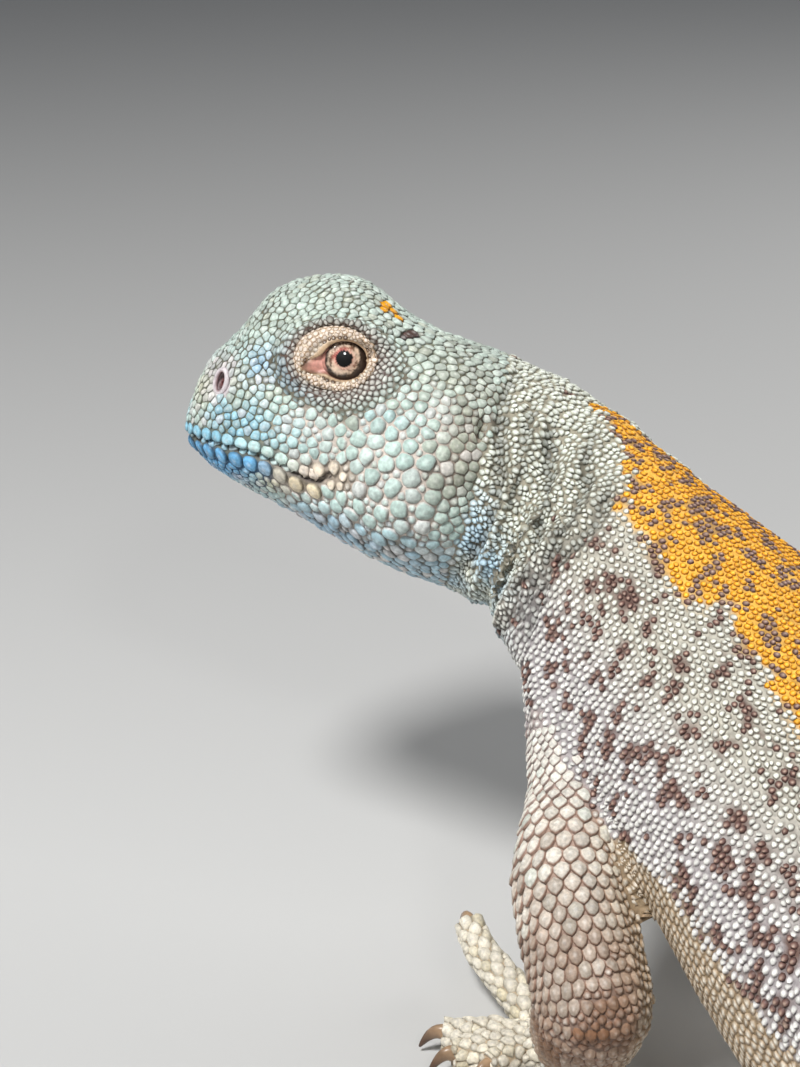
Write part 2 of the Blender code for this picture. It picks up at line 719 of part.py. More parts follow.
def main():
    clear_scene()
    materials = {
        "head": make_material("head_skin", BLUE_GREEN, 0.6),
        "neck": make_material("neck_skin", PALE, 0.7),
        "torso": make_material("torso_skin", ORANGE, 0.7),
        "limb": make_material("limb_skin", PALE, 0.7),
        "tail": make_material("tail_skin", TAIL_BROWN, 0.75),
        "claw": make_material("claw_horn", CLAW_BROWN, 0.4),
        "eye": make_material("eye_glass", EYE_BROWN, 0.05),
    }
    nodes = build_head(materials["head"], materials["eye"])
    nodes += build_trunk(materials["neck"], materials["torso"])
    nodes += build_tail(materials["tail"])
    for name, limb in LIMBS.items():
        nodes += build_limb(name, limb, materials["limb"], materials["claw"])
    model = bpy.data.collections.new("uromastyx")
    bpy.context.scene.collection.children.link(model)
    to_metres = Matrix.Scale(MM, 4) @ Matrix.Translation(-Vector(MIDDLE_IN_TABLES))
    for obj in nodes:
        obj.data.transform(to_metres)
        bpy.context.scene.collection.objects.unlink(obj)
        model.objects.link(obj)


main()
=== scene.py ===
# A uromastyx: its skin, scales, eyelids, eyes, claws and the spiny rings of its tail.
# Places are in millimetres from the floor below the shoulders, X towards the tail, left side at -Y.
import math
import random

import bmesh
import bpy
import numpy as np
from mathutils import Matrix, Quaternion, Vector, noise
from mathutils.bvhtree import BVHTree
from mathutils.kdtree import KDTree


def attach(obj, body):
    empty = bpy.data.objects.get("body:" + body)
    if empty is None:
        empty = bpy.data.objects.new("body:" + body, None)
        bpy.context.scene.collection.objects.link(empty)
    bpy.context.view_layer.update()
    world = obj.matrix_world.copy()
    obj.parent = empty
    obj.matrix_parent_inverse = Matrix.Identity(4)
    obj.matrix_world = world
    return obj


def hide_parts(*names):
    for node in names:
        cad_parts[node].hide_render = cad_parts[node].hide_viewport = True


mm = 0.001
boxMiddle = Vector((101.4, -1.2, 0.0))  # the frame's zero, in this script's millimetres

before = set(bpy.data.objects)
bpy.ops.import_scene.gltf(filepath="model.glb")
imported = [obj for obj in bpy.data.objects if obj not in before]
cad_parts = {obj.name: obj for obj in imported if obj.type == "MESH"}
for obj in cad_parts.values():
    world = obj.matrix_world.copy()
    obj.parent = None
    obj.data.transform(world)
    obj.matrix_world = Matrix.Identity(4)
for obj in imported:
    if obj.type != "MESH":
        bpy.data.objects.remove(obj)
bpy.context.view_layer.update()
bpy.ops.object.select_all(action="DESELECT")
print("frame loaded")


# Small helpers
def curveAt(rows, t):
    last = len(rows) - 1
    i = min(int(t), last - 1)
    u = t - i
    before = rows[i - 1] if i else [2 * a - b for a, b in zip(rows[0], rows[1])]
    after = rows[i + 2] if i + 2 <= last else [2 * a - b for a, b in zip(rows[last], rows[last - 1])]
    values = []
    for a, b, c, d in zip(before, rows[i], rows[i + 1], after):
        slopeIn, slopeOut = (c - a) / 2, (d - b) / 2
        cubic = 2 * b - 2 * c + slopeIn + slopeOut
        square = 3 * c - 3 * b - 2 * slopeIn - slopeOut
        values.append(((cubic * u + square) * u + slopeIn) * u + b)
    return values


def sideAndUp(ahead, roll=0.0):
    side = Vector((0, 0, 1)).cross(ahead).normalized()
    turn = Quaternion(ahead, -math.radians(roll))
    return turn @ side, turn @ ahead.cross(side).normalized()


colourStrength = 1.12
darkestTone = 0.004


def asColour(*screen):
    # screen values from 0 to 255, as light
    light = np.array([((c / 255 + 0.055) / 1.055) ** 2.4 if c > 10 else c / 3295 for c in screen])
    grey = light.mean()
    return np.clip(grey + (light - grey) * colourStrength, darkestTone, 1.0)


def fade(value, low, high):
    return min(1.0, max(0.0, (value - low) / (high - low)))


def inFrame(points):
    return (np.asarray(points, float) - np.array(boxMiddle)) * mm


def activate(obj):
    bpy.ops.object.select_all(action="DESELECT")
    obj.select_set(True)
    bpy.context.view_layer.objects.active = obj


def applyModifier(obj, kind, **settings):
    activate(obj)
    modifier = obj.modifiers.new(kind.title(), kind)
    for key, value in settings.items():
        setattr(modifier, key, value)
    bpy.ops.object.modifier_apply(modifier=modifier.name)


def fixNormals(piece):
    activate(piece)
    bpy.ops.object.mode_set(mode="EDIT")
    bpy.ops.mesh.select_all(action="SELECT")
    bpy.ops.mesh.normals_make_consistent(inside=False)
    bpy.ops.object.mode_set(mode="OBJECT")


def meshPiece(name, points, faces, colours, uvs=None):
    # points in millimetres, one colour a point, one UV place a point
    mesh = bpy.data.meshes.new(name)
    mesh.vertices.add(len(points))
    mesh.vertices.foreach_set("co", inFrame(points).astype(np.float32).ravel())
    loops = np.concatenate([np.asarray(f, np.int32).ravel() for f in faces])
    sizes = np.concatenate([np.full(len(f), np.asarray(f).shape[1], np.int32) for f in faces])
    mesh.loops.add(len(loops))
    mesh.loops.foreach_set("vertex_index", loops)
    mesh.polygons.add(len(sizes))
    mesh.polygons.foreach_set("loop_start", np.concatenate([[0], np.cumsum(sizes)[:-1]]).astype(np.int32))
    mesh.polygons.foreach_set("use_smooth", np.ones(len(sizes), bool))
    mesh.update(calc_edges=True)
    paintMesh(mesh, colours)
    if uvs is not None:
        layer = mesh.uv_layers.new(name="OFBake")
        layer.data.foreach_set("uv", np.asarray(uvs)[loops].astype(np.float32).ravel())
    piece = bpy.data.objects.new(name, mesh)
    bpy.context.collection.objects.link(piece)
    return piece


def paintMesh(mesh, colours):
    layer = mesh.color_attributes.new("paint", "FLOAT_COLOR", "POINT")
    full = np.ones((len(colours), 4), np.float32)
    full[:, :3] = colours
    layer.data.foreach_set("color", full.ravel())


def treeOf(mesh):
    points = [Vector(v.co) / mm + boxMiddle for v in mesh.vertices]
    return BVHTree.FromPolygons(points, [tuple(p.vertices) for p in mesh.polygons])


def pointTree(points):
    tree = KDTree(len(points))
    for number, point in enumerate(points):
        tree.insert(point, number)
    tree.balance()
    return tree


def facing(normal, way):
    return normal if normal.dot(way) > 0 else -normal


# Camera and light
view = {
    "camera": (134.29, -186.96, 151.94),
    "towards": (-0.6204, 0.6890, -0.3746),
    "lens": 70.0,
    "lamps": {  # place, power in watts, radius in metres
        "keyLight": ((20.0, -270.0, 450.0), 9.8, 0.055),
        "fillLight": ((-520.0, -260.0, 160.0), 2.2, 0.3),
        "rimLight": ((160.0, 480.0, 380.0), 6.0, 0.2),
        "glintLight": ((285.0, -222.0, 323.0), 0.9, 0.025),  # shows in the eye above the pupil
    },
    "sky": (0.80, 0.86, 0.95),
    "skyStrength": 0.12,
    "floor": (0.6, 0.595, 0.58),
    "floorSize": 8.0,
    "floorDrop": 0.05,  # keeps the flats of the animal from sharing the floor's own plane
}


def softLamp(name, place, power, radius):
    bpy.ops.object.light_add(type="POINT", location=inFrame(place))
    lamp = bpy.context.object
    lamp.name = name
    lamp.data.energy = power
    lamp.data.shadow_soft_size = radius


def setTheStage():
    bpy.ops.object.camera_add(location=inFrame(view["camera"]))
    camera = bpy.context.object
    camera.rotation_euler = Vector(view["towards"]).to_track_quat("-Z", "Y").to_euler()
    camera.data.lens = view["lens"]
    camera.data.sensor_width = 36
    camera.data.clip_start = 0.01
    bpy.context.scene.camera = camera
    for name, lamp in view["lamps"].items():
        softLamp(name, *lamp)
    world = bpy.data.worlds.new("studio")
    world.use_nodes = True
    background = world.node_tree.nodes["Background"]
    background.inputs["Color"].default_value = (*view["sky"], 1)
    background.inputs["Strength"].default_value = view["skyStrength"]
    bpy.context.scene.world = world
    bpy.context.scene.view_settings.view_transform = "Standard"
    bpy.ops.mesh.primitive_plane_add(size=view["floorSize"], location=(0, 0, -view["floorDrop"] * mm))
    floor = bpy.context.object
    floor.name = "studioFloor"
    floor.data.materials.append(plainMaterial("floorPaint", view["floor"], 0.75))


def plainMaterial(name, colour, roughness):
    material = bpy.data.materials.new(name)
    material.use_nodes = True
    shader = material.node_tree.nodes["Principled BSDF"]
    shader.inputs["Base Color"].default_value = (*colour, 1)
    shader.inputs["Roughness"].default_value = roughness
    return material


def paintedMaterial(name, roughness, specular, grain, grainDepth, coat=0.0):
    # the painted colours, broken up by a fine grain that also roughens the surface
    material = plainMaterial(name, (0.5, 0.5, 0.5), roughness)
    nodes, links = material.node_tree.nodes, material.node_tree.links
    shader = nodes["Principled BSDF"]
    shader.inputs["Specular IOR Level"].default_value = specular
    shader.inputs["Coat Weight"].default_value = coat
    shader.inputs["Coat Roughness"].default_value = 0.03
    paint = nodes.new("ShaderNodeAttribute")
    paint.attribute_name = "paint"
    place = nodes.new("ShaderNodeTexCoord")
    specks = nodes.new("ShaderNodeTexNoise")
    specks.inputs["Scale"].default_value = grain
    specks.inputs["Detail"].default_value = 3.0
    shade = nodes.new("ShaderNodeMapRange")
    for socket, value in (("From Min", 0.32), ("From Max", 0.68), ("To Min", 0.78), ("To Max", 1.2)):
        shade.inputs[socket].default_value = value
    mix = nodes.new("ShaderNodeVectorMath")
    mix.operation = "SCALE"
    bump = nodes.new("ShaderNodeBump")
    bump.inputs["Strength"].default_value = 0.5
    bump.inputs["Distance"].default_value = grainDepth * mm
    links.new(place.outputs["Object"], specks.inputs["Vector"])
    links.new(specks.outputs["Fac"], shade.inputs["Value"])
    links.new(paint.outputs["Color"], mix.inputs[0])
    links.new(shade.outputs["Result"], mix.inputs["Scale"])
    links.new(mix.outputs["Vector"], shader.inputs["Base Color"])
    links.new(specks.outputs["Fac"], bump.inputs["Height"])
    links.new(bump.outputs["Normal"], shader.inputs["Normal"])
    return material


setTheStage()
print("camera and light set")

# The head's own axes: x from the snout to the nape, y to its right, z to its crown
headShape = {
    "snout": (-50.7, -21.4, 68.7),
    "yaw": 36.2,
    "pitch": 13.9,
    "roll": 15.6,
    "length": 37.0,
    "napeLevel": 2.4,
    "outside": 40.0,  # further out than any of the head
    "mouth": [
        (20.0, -1.4), (18.6, -2.7), (16.3, -2.8), (13.5, -2.2),
        (10.5, -1.9), (7.5, -2.0), (4.5, -2.2), (2.4, -2.3),
    ],
    "mouthFront": (0.75, 0.0, -2.3),
    "nostril": (4.2, 5.3),
    "ear": (35.9, 8.6),
}
headTurn = (
    Quaternion((0, 0, 1), math.radians(headShape["yaw"]))
    @ Quaternion((0, 1, 0), math.radians(headShape["pitch"]))
    @ Quaternion((1, 0, 0), -math.radians(headShape["roll"]))
)
headPlace = Matrix.Translation(headShape["snout"]) @ headTurn.to_matrix().to_4x4()
headBack = headPlace.inverted()

# The trunk's centre line: x, y, z and roll
trunkShape = {
    "line": [
        (-13.0, 2.6, 57.8, 9.0),
        (-6.0, 1.6, 54.3, 5.0),
        (2.0, 0.4, 50.0, 2.0),
        (14.0, -1.0, 43.2, 0.0),
        (29.0, -2.2, 35.4, 0.0),
        (46.0, -3.0, 28.4, 0.0),
        (62.0, -3.0, 23.6, 0.0),
        (78.0, -2.0, 20.0, 0.0),
        (92.0, 0.4, 17.0, 0.0),
        (104.0, 3.4, 14.0, 0.0),
        (114.0, 6.6, 11.7, 0.0),
    ],
    "neckEnd": 2.5,
    "pitchFront": 0.86,
    "pitchRear": 1.02,
}
nape = headPlace @ Vector((headShape["length"], 0.0, headShape["napeLevel"]))
trunkLine = [(*nape, headShape["roll"])] + trunkShape["line"]

# The tail lies on the floor: a line seen from above, its half width and half height
tailShape = {
    "line": [
        (114.0, 6.6),
        (138.0, 16.0),
        (162.0, 26.5),
        (187.0, 33.5),
        (211.0, 34.0),
        (233.0, 26.5),
        (250.0, 13.0),
    ],
    "root": (15.2, 11.2),
    "tip": (3.0, 2.5),
    "taper": 1.35,
    "rings": 21,
    "step": 0.05,
    "dip": 0.15,
}

# Each limb: points of its middle line with the half thickness; the sole's front, half width and half height;
# each toe's heading, length, height of its end and heading of its claw; which way the large scales face
limbShapes = {
    "arm_l": {
        "line": [
            (5.0, -11.5, 47.0, 7.6), (11.5, -20.8, 37.0, 5.7), (16.4, -27.9, 31.0, 6.8),
            (24.0, -33.3, 21.9, 6.8), (19.8, -29.0, 13.5, 6.2), (15.0, -22.5, 5.8, 4.2),
        ],
        "sole": (8.4, -20.2, 2.5, 5.2, 2.9),
        "toes": [
            (112, 5.0, 2.4, 112), (163, 19.5, 7.6, 152), (-146, 11.2, 2.4, -146),
            (-124, 10.0, 2.4, -124), (-96, 7.5, 2.4, -96),
        ],
        "outer": (-0.1, -0.95, 0.3),
    },
    "arm_r": {
        "line": [
            (4.0, 11.5, 46.0, 9.0), (10.0, 20.0, 38.0, 7.8), (15.0, 27.0, 30.5, 7.0),
            (21.0, 34.0, 22.0, 6.9), (17.5, 31.5, 13.5, 6.0), (13.0, 28.5, 5.8, 4.2),
        ],
        "sole": (5.5, 28.0, 2.5, 5.2, 2.9),
        "toes": [
            (-110, 6.5, 2.4, -110), (-145, 11.5, 2.4, -145), (-172, 12.5, 2.4, -172),
            (162, 12.0, 2.4, 162), (128, 8.0, 2.4, 128),
        ],
        "outer": (-0.1, 0.95, 0.3),
    },
    "leg_l": {
        "line": [
            (92.0, -9.0, 17.0, 12.0), (90.0, -23.0, 17.0, 11.0), (85.0, -35.0, 16.0, 9.0),
            (81.0, -45.0, 14.0, 7.6), (92.0, -50.0, 12.0, 7.2), (108.0, -53.5, 6.6, 4.6),
        ],
        "sole": (103.5, -63.0, 2.5, 5.6, 3.0),
        "toes": [
            (-172, 7.0, 2.4, -172), (-150, 11.0, 2.4, -150), (-132, 14.0, 2.4, -132),
            (-112, 15.0, 2.4, -112), (-72, 9.0, 2.4, -72),
        ],
        "outer": (-0.2, -0.35, 0.9),
    },
    "leg_r": {
        "line": [
            (93.0, 10.0, 17.0, 12.0), (91.0, 25.0, 17.0, 11.0), (86.0, 37.0, 16.0, 9.0),
            (82.0, 47.0, 14.0, 7.6), (94.0, 51.0, 12.0, 7.2), (109.0, 53.0, 6.6, 4.6),
        ],
        "sole": (101.0, 60.5, 2.5, 5.6, 3.0),
        "toes": [
            (172, 7.0, 2.4, 172), (152, 11.0, 2.4, 152), (135, 14.0, 2.4, 135),
            (116, 15.0, 2.4, 116), (78, 9.0, 2.4, 78),
        ],
        "outer": (-0.2, 0.35, 0.9),
    },
}
toeShape = {"radii": (2.6, 2.45, 2.3, 2.1), "arch": 1.2, "spread": 0.55, "rootHeight": 0.85}
toeStops = {"middle": 0.45, "bend": 0.78, "claw": 0.22}  # shares of the toe's length


def trunkDirection(t):
    after, before = min(t + 0.05, len(trunkLine) - 1), t - 0.05
    return (Vector(curveAt(trunkLine, after)[:3]) - Vector(curveAt(trunkLine, before)[:3])).normalized()


def trunkFrame(t):
    x, y, z, roll = curveAt(trunkLine, t)
    ahead = trunkDirection(max(t, trunkShape["neckEnd"]))
    if t < trunkShape["neckEnd"]:
        ahead = (headTurn @ Vector((1, 0, 0))).lerp(ahead, t / trunkShape["neckEnd"]).normalized()
    tailStart = len(trunkLine) - 2
    if t > tailStart:
        ahead = ahead.lerp(tailFrame(0.0)[1], t - tailStart).normalized()
    return Vector((x, y, z)), ahead, *sideAndUp(ahead, roll)


def tailPoint(share):
    left = 1 - share ** tailShape["taper"]
    ends = zip(tailShape["root"], tailShape["tip"])
    halfWidth, halfHeight = (tip + (root - tip) * left for root, tip in ends)
    x, y = curveAt(tailShape["line"], share * (len(tailShape["line"]) - 1))
    return Vector((x, y, halfHeight * (1 + tailShape["step"]) - tailShape["dip"])), halfWidth, halfHeight


def tailFrame(share):
    centre, halfWidth, halfHeight = tailPoint(share)
    ahead = (tailPoint(min(share + 0.01, 1.0))[0] - tailPoint(max(share - 0.01, 0.0))[0]).normalized()
    return centre, ahead, halfWidth, halfHeight


def levelWay(heading):
    return Vector((math.cos(math.radians(heading)), math.sin(math.radians(heading)), 0.0))


def toePath(limb, number):
    # the middle line of a toe from the sole to its claw, with its radius
    heading, length, endHeight, clawHeading = limb["toes"][number]
    *front, halfWidth, halfHeight = limb["sole"]
    wrist = Vector(limb["line"][-1][:3])
    front = Vector(front)
    side, _ = sideAndUp((front - wrist).normalized())
    way = levelWay(heading)
    root = front + side * way.dot(side) * halfWidth * toeShape["spread"]
    root.z = halfHeight * toeShape["rootHeight"]
    lift = Vector((0.0, 0.0, (endHeight - root.z) / 3))
    arch = Vector((0.0, 0.0, toeShape["arch"]))
    middle = root + way * length * toeStops["middle"] + lift + arch * 0.6
    bend = root + way * length * toeStops["bend"] + lift * 2 + arch * 0.3
    end = bend + levelWay(clawHeading) * length * toeStops["claw"] + lift
    return [(*place, radius) for place, radius in zip((root, middle, bend, end), toeShape["radii"])]


# Skin: the flesh of every node in one closed surface, pulled in by the depth of the scales
limbNodes = [f"{limb}_{part}" for limb in limbShapes for part in ("upper", "lower", "foot")]
skinShape = {
    "flesh": ["head", "neck", "torso"] + limbNodes,
    "tails": ["tail_root", "tail_middle", "tail_tip"],
    "gapFill": 0.25,
    "voxel": 0.45,
    "smoothing": 5,
    "coatDepth": 0.32,
    "triangles": 190000,
}


def fleshCopy(name):
    copy = bpy.data.objects.new("flesh_" + name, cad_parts[name].data.copy())
    bpy.context.collection.objects.link(copy)
    activate(copy)
    bpy.ops.object.mode_set(mode="EDIT")
    bpy.ops.mesh.select_all(action="SELECT")
    bpy.ops.mesh.remove_doubles(threshold=0.000002)
    bpy.ops.mesh.normals_make_consistent(inside=False)
    bpy.ops.transform.shrink_fatten(value=skinShape["gapFill"] * mm)
    bpy.ops.object.mode_set(mode="OBJECT")
    return copy


tailCoreShape = {
    "sides": 40,
    "bands": ((0.02, 0.93), (0.5, 0.985), (0.96, 1.04)),  # place in a band and how wide it is there
    "end": ((0.9, 0.85), (1.7, 0.6), (2.3, 0.25)),
}


def ovalRing(middle, side, up, halfWidth, halfHeight, scale):
    ring = []
    for k in range(tailCoreShape["sides"]):
        angle = 2 * math.pi * k / tailCoreShape["sides"]
        out = side * math.cos(angle) * halfWidth * scale
        ring.append(middle + out + up * math.sin(angle) * halfHeight * scale)
    return ring


def tailCore():
    # bands that widen towards the rear edge, where the spines sit
    sides, rings = tailCoreShape["sides"], []
    for band in range(tailShape["rings"]):
        for step, scale in tailCoreShape["bands"]:
            centre, ahead, halfWidth, halfHeight = tailFrame((band + step) / tailShape["rings"])
            side, up = sideAndUp(ahead)
            rings.append(ovalRing(centre, side, up, halfWidth, halfHeight, scale))
    for reach, scale in tailCoreShape["end"]:
        middle = centre + ahead * halfWidth * reach
        rings.append(ovalRing(middle, side, up, halfWidth, halfHeight, scale))
    core = bmesh.new()
    rows = [[core.verts.new(inFrame(p)) for p in ring] for ring in rings]
    for first, second in zip(rows, rows[1:]):
        for k in range(sides):
            core.faces.new((first[k], first[(k + 1) % sides], second[(k + 1) % sides], second[k]))
    core.faces.new(rows[0])
    core.faces.new(rows[-1])
    bmesh.ops.recalc_face_normals(core, faces=core.faces)
    mesh = bpy.data.meshes.new("tailCore")
    core.to_mesh(mesh)
    core.free()
    obj = bpy.data.objects.new("tailCore", mesh)
    bpy.context.collection.objects.link(obj)
    return obj


def makeSkin():
    parts = [fleshCopy(name) for name in skinShape["flesh"]] + [tailCore()]
    skin = parts[0]
    activate(skin)
    for part in parts:
        part.select_set(True)
    bpy.ops.object.join()
    skin.name = "skin"
    skin.data.remesh_voxel_size = skinShape["voxel"] * mm
    bpy.ops.object.voxel_remesh()
    applyModifier(skin, "SMOOTH", factor=0.5, iterations=skinShape["smoothing"])
    bpy.ops.object.mode_set(mode="EDIT")
    bpy.ops.mesh.select_all(action="SELECT")
    bpy.ops.transform.shrink_fatten(value=-(skinShape["gapFill"] + skinShape["coatDepth"]) * mm)
    bpy.ops.object.mode_set(mode="OBJECT")
    return skin


skin = makeSkin()
skinTree = treeOf(skin.data)
print("skin joined:", len(skin.data.polygons), "faces")


def fromSide(tree, x, z, side):
    # what a line from beside the head meets first
    start = headPlace @ Vector((x, headShape["outside"] * side, z))
    return tree.ray_cast(start, headTurn @ Vector((0.0, -1.0 * side, 0.0)))[0]


def cheekPoint(x, z, side):
    # on the skin at this distance from the snout and this level
    return fromSide(skinTree, x, z, side)


# The openings of the head, pressed into the skin: places, reach and depth
mouthPoints = [cheekPoint(x, z, -1) for x, z in headShape["mouth"]]
mouthPoints += [headPlace @ Vector(headShape["mouthFront"])]
mouthPoints += [cheekPoint(x, z, 1) for x, z in headShape["mouth"][::-1]]
mouthCurve = [Vector(curveAt(mouthPoints, k / 12)) for k in range((len(mouthPoints) - 1) * 12 + 1)]
mouthTree = pointTree(mouthCurve)
nostrils = [cheekPoint(*headShape["nostril"], side) for side in (-1, 1)]
ears = [cheekPoint(*headShape["ear"], side) for side in (-1, 1)]
openings = {
    "mouthWidth": 0.26,
    "mouthDepth": 0.5,
    "mouthFine": 0.9,  # the skin's faces nearer than this are made finer
    "nostril": (0.64, 1.25),
    "nostrilDepth": 1.3,
    "nostrilFine": (1.2, 1.8),
    "earReach": (0.6, 1.9),
    "earDepth": 0.5,
}


def mouthCloseness(p):
    return math.exp(-((mouthTree.find(p)[2] / openings["mouthWidth"]) ** 2))


def insideOf(p, places, reach):
    # below 1 inside the upright oval round the nearest place
    gaps = [headTurn.inverted() @ (p - place) for place in places]
    return min(math.hypot(gap.x / reach[0], gap.z / reach[1]) + abs(gap.y) / 12 for gap in gaps)


def nostrilCloseness(p):
    return math.exp(-(insideOf(p, nostrils, openings["nostril"]) ** 4))


def earCloseness(p):
    return math.exp(-(insideOf(p, ears, openings["earReach"]) ** 4))


# Folds of the neck and creases of the head: lines on the skin, how deep and how wide they are
creaseShape = {
    "neck": [
        [
            (-16.8, 2.6, 76.3), (-13.2, -4.6, 74.4), (-11.4, -7.6, 70.6), (-10.0, -9.7, 66.5),
            (-10.0, -11.4, 61.9), (-12.2, -11.8, 57.0), (-15.4, -10.7, 52.7),
        ],
        [
            (-8.2, -1.1, 72.8), (-6.4, -4.3, 69.7), (-4.7, -7.5, 66.3), (-2.6, -11.7, 61.5),
            (-3.0, -14.6, 55.6), (-3.4, -15.3, 53.0), (-6.0, -13.0, 48.5),
        ],
        [
            (-4.6, 1.7, 71.5), (-1.6, -3.3, 69.3), (-0.1, -6.0, 67.1), (0.8, -12.1, 62.5),
            (-0.5, -14.5, 58.0), (-1.7, -15.5, 54.1), (-3.4, -15.3, 51.0),
        ],
        [
            (1.3, -2.9, 68.7), (3.8, -7.4, 66.3), (3.2, -11.5, 63.0), (1.3, -13.6, 60.1),
            (0.9, -14.9, 57.3), (0.2, -16.2, 54.0), (-1.0, -15.8, 49.0),
        ],
    ],
    "head": [
        [(21.2, 14.7, -0.2), (19.7, 14.3, 2.4), (20.3, 14.2, 4.8)],
        [(7.2, 9.4, 9.8), (8.5, 10.2, 8.1), (10.8, 11.2, 6.4)],
    ],
    "depths": {"jaw": 1.05, "fold": 1.0, "between": 0.75, "head": 0.55},
    "widths": {"jaw": 0.75, "fold": 0.85, "between": 0.8, "head": 0.42},
    "between": 0.5,  # where a shallower fold lies between the first two
    "samples": 14,
    "wander": (0.25, 0.45),
    "bare": 0.84,  # no scale sits deeper in a fold than this
    "rearmost": 12,
}
creaseRows = []


def addCrease(line, kind):
    samples = creaseShape["samples"]
    strength, reach = creaseShape["wander"]
    for k in range((len(line) - 1) * samples + 1):
        share = k / ((len(line) - 1) * samples)
        ends = min(1.0, 6 * share + 0.2, 6 * (1 - share) + 0.2)
        place = skinTree.find_nearest(Vector(curveAt(line, k / samples)))[0]
        wander = strength * noise.noise(place * reach)
        depth = creaseShape["depths"][kind] * ends * (0.8 + wander)
        creaseRows.append((place, depth, creaseShape["widths"][kind]))


for number, line in enumerate(creaseShape["neck"]):
    addCrease(line, "fold" if number else "jaw")
    if number == 1:
        before = creaseShape["neck"][0]
        share = creaseShape["between"]
        addCrease([tuple(a + (b - a) * share for a, b in zip(p, q)) for p, q in zip(before, line)], "between")
for line in creaseShape["head"]:
    for side in (-1, 1):
        addCrease([tuple(headPlace @ Vector((x, y * side, z))) for x, y, z in line], "head")
jawOnRight = [headBack @ Vector(p) for p in creaseShape["neck"][0]]
addCrease([tuple(headPlace @ Vector((p.x, -p.y, p.z))) for p in jawOnRight], "jaw")
creaseTree = pointTree([row[0] for row in creaseRows])


def nearestCrease(p):
    # its depth, and how near its middle line is, from 0 to 1
    _, number, reach = creaseTree.find(p)
    _, depth, width = creaseRows[number]
    return depth, math.exp(-((reach / width) ** 2))


def creaseCloseness(p):
    depth, nearness = nearestCrease(p)
    return min(1.0, depth) * nearness


def deepInFold(p):
    return p.x < creaseShape["rearmost"] and creaseCloseness(p) > creaseShape["bare"]


def pressOpenings():
    activate(skin)
    centres = [face.center / mm + boxMiddle for face in skin.data.polygons]
    bpy.ops.object.mode_set(mode="EDIT")
    bpy.ops.mesh.select_all(action="DESELECT")
    bpy.ops.object.mode_set(mode="OBJECT")
    for face, centre in zip(skin.data.polygons, centres):
        if (headBack @ centre).x < headShape["length"]:
            byMouth = mouthTree.find(centre)[2] < openings["mouthFine"]
            face.select = byMouth or insideOf(centre, nostrils, openings["nostrilFine"]) < 1
    bpy.ops.object.mode_set(mode="EDIT")
    bpy.ops.mesh.subdivide(number_cuts=2, smoothness=0.0)
    bpy.ops.object.mode_set(mode="OBJECT")
    moves = []
    for vertex in skin.data.vertices:
        p = vertex.co / mm + boxMiddle
        depth = 0.0
        if (headBack @ p).x < headShape["length"]:
            depth = openings["mouthDepth"] * mouthCloseness(p)
            depth += openings["nostrilDepth"] * nostrilCloseness(p) + openings["earDepth"] * earCloseness(p)
        if p.x < creaseShape["rearmost"]:
            depth += math.prod(nearestCrease(p))
        moves.append(vertex.normal * depth * mm)
    for vertex, move in zip(skin.data.vertices, moves):
        vertex.co -= move


pressOpenings()
skinTree = treeOf(skin.data)


def treeOnSkin(places):
    return pointTree([skinTree.find_nearest(place)[0] for place in places])


mouthTree = treeOnSkin(mouthCurve)
creaseTree = treeOnSkin([row[0] for row in creaseRows])
print("openings pressed:", len(skin.data.polygons), "faces")

# Each scale is a row: place, outward normal, lie, size, its place on the piece's map (two values) and a mark
# that tells its tones
scaleSets = []


def addSet(name, style, rows):
    if rows:
        scaleSets.append({"name": name, "style": style, "rows": rows})
    print(name, len(rows), "scales")


class Clearance:
    # tells whether a new scale keeps its distance from those already set
    def __init__(self, cell):
        self.cell = cell
        self.taken = {}

    def key(self, p):
        return (int(p.x // self.cell), int(p.y // self.cell), int(p.z // self.cell))

    def isFree(self, p, size, share, unlike=0.92):
        # share of the mean size to keep between scales, and the one between scales of unlike sizes
        kx, ky, kz = self.key(p)
        for x in (kx - 1, kx, kx + 1):
            for y in (ky - 1, ky, ky + 1):
                for z in (kz - 1, kz, kz + 1):
                    for other, otherSize in self.taken.get((x, y, z), ()):
                        need = max(share, unlike) if abs(size - otherSize) > 0.4 else share
                        if (other - p).length < need * (size + otherSize) / 2:
                            return False
        return True

    def take(self, p, size):
        self.taken.setdefault(self.key(p), []).append((p, size))


clearance = Clearance(2.6)


def ringOutline(centre, side, up, rays=72):
    points = []
    for k in range(rays):
        angle = 2 * math.pi * k / rays
        direction = up * math.cos(angle) + side * math.sin(angle)
        hit = skinTree.ray_cast(centre, direction)[0]
        points.append((angle, (hit - centre).length if hit else 0.0))
    return points


def ringPlaces(outline, pitch, offset):
    # angles spaced by the pitch that each side of the ring asks for
    angles, total = [0.0], [0.0]
    for (a, ra), (b, rb) in zip(outline, outline[1:] + [(2 * math.pi, outline[0][1])]):
        stretch = math.hypot(rb - ra, (b - a) * (ra + rb) / 2)
        total.append(total[-1] + stretch / pitch((a + b) / 2))
        angles.append(b)
    count = max(3, round(total[-1]))
    wanted = [(k + offset) * total[-1] / count for k in range(count)]
    return np.interp(wanted, total, angles)


def tidyAngle(angle):
    return (math.degrees(angle) + 180) % 360 - 180


# Trunk scales: rows round the neck and body
trunkRowShape = {
    "samples": 600,
    "firstRow": 0.4,
    "rowStep": 0.94,
    "neckLoose": 1.1,  # how much less regular the neck's rows are
    "turnJitter": 0.014,
    "placeJitter": 0.15,
    "sizeJitter": 0.09,
    "reach": 1.6,  # from the solids of the neck and torso
    "lowest": 0.25,
    "share": 0.45,
}


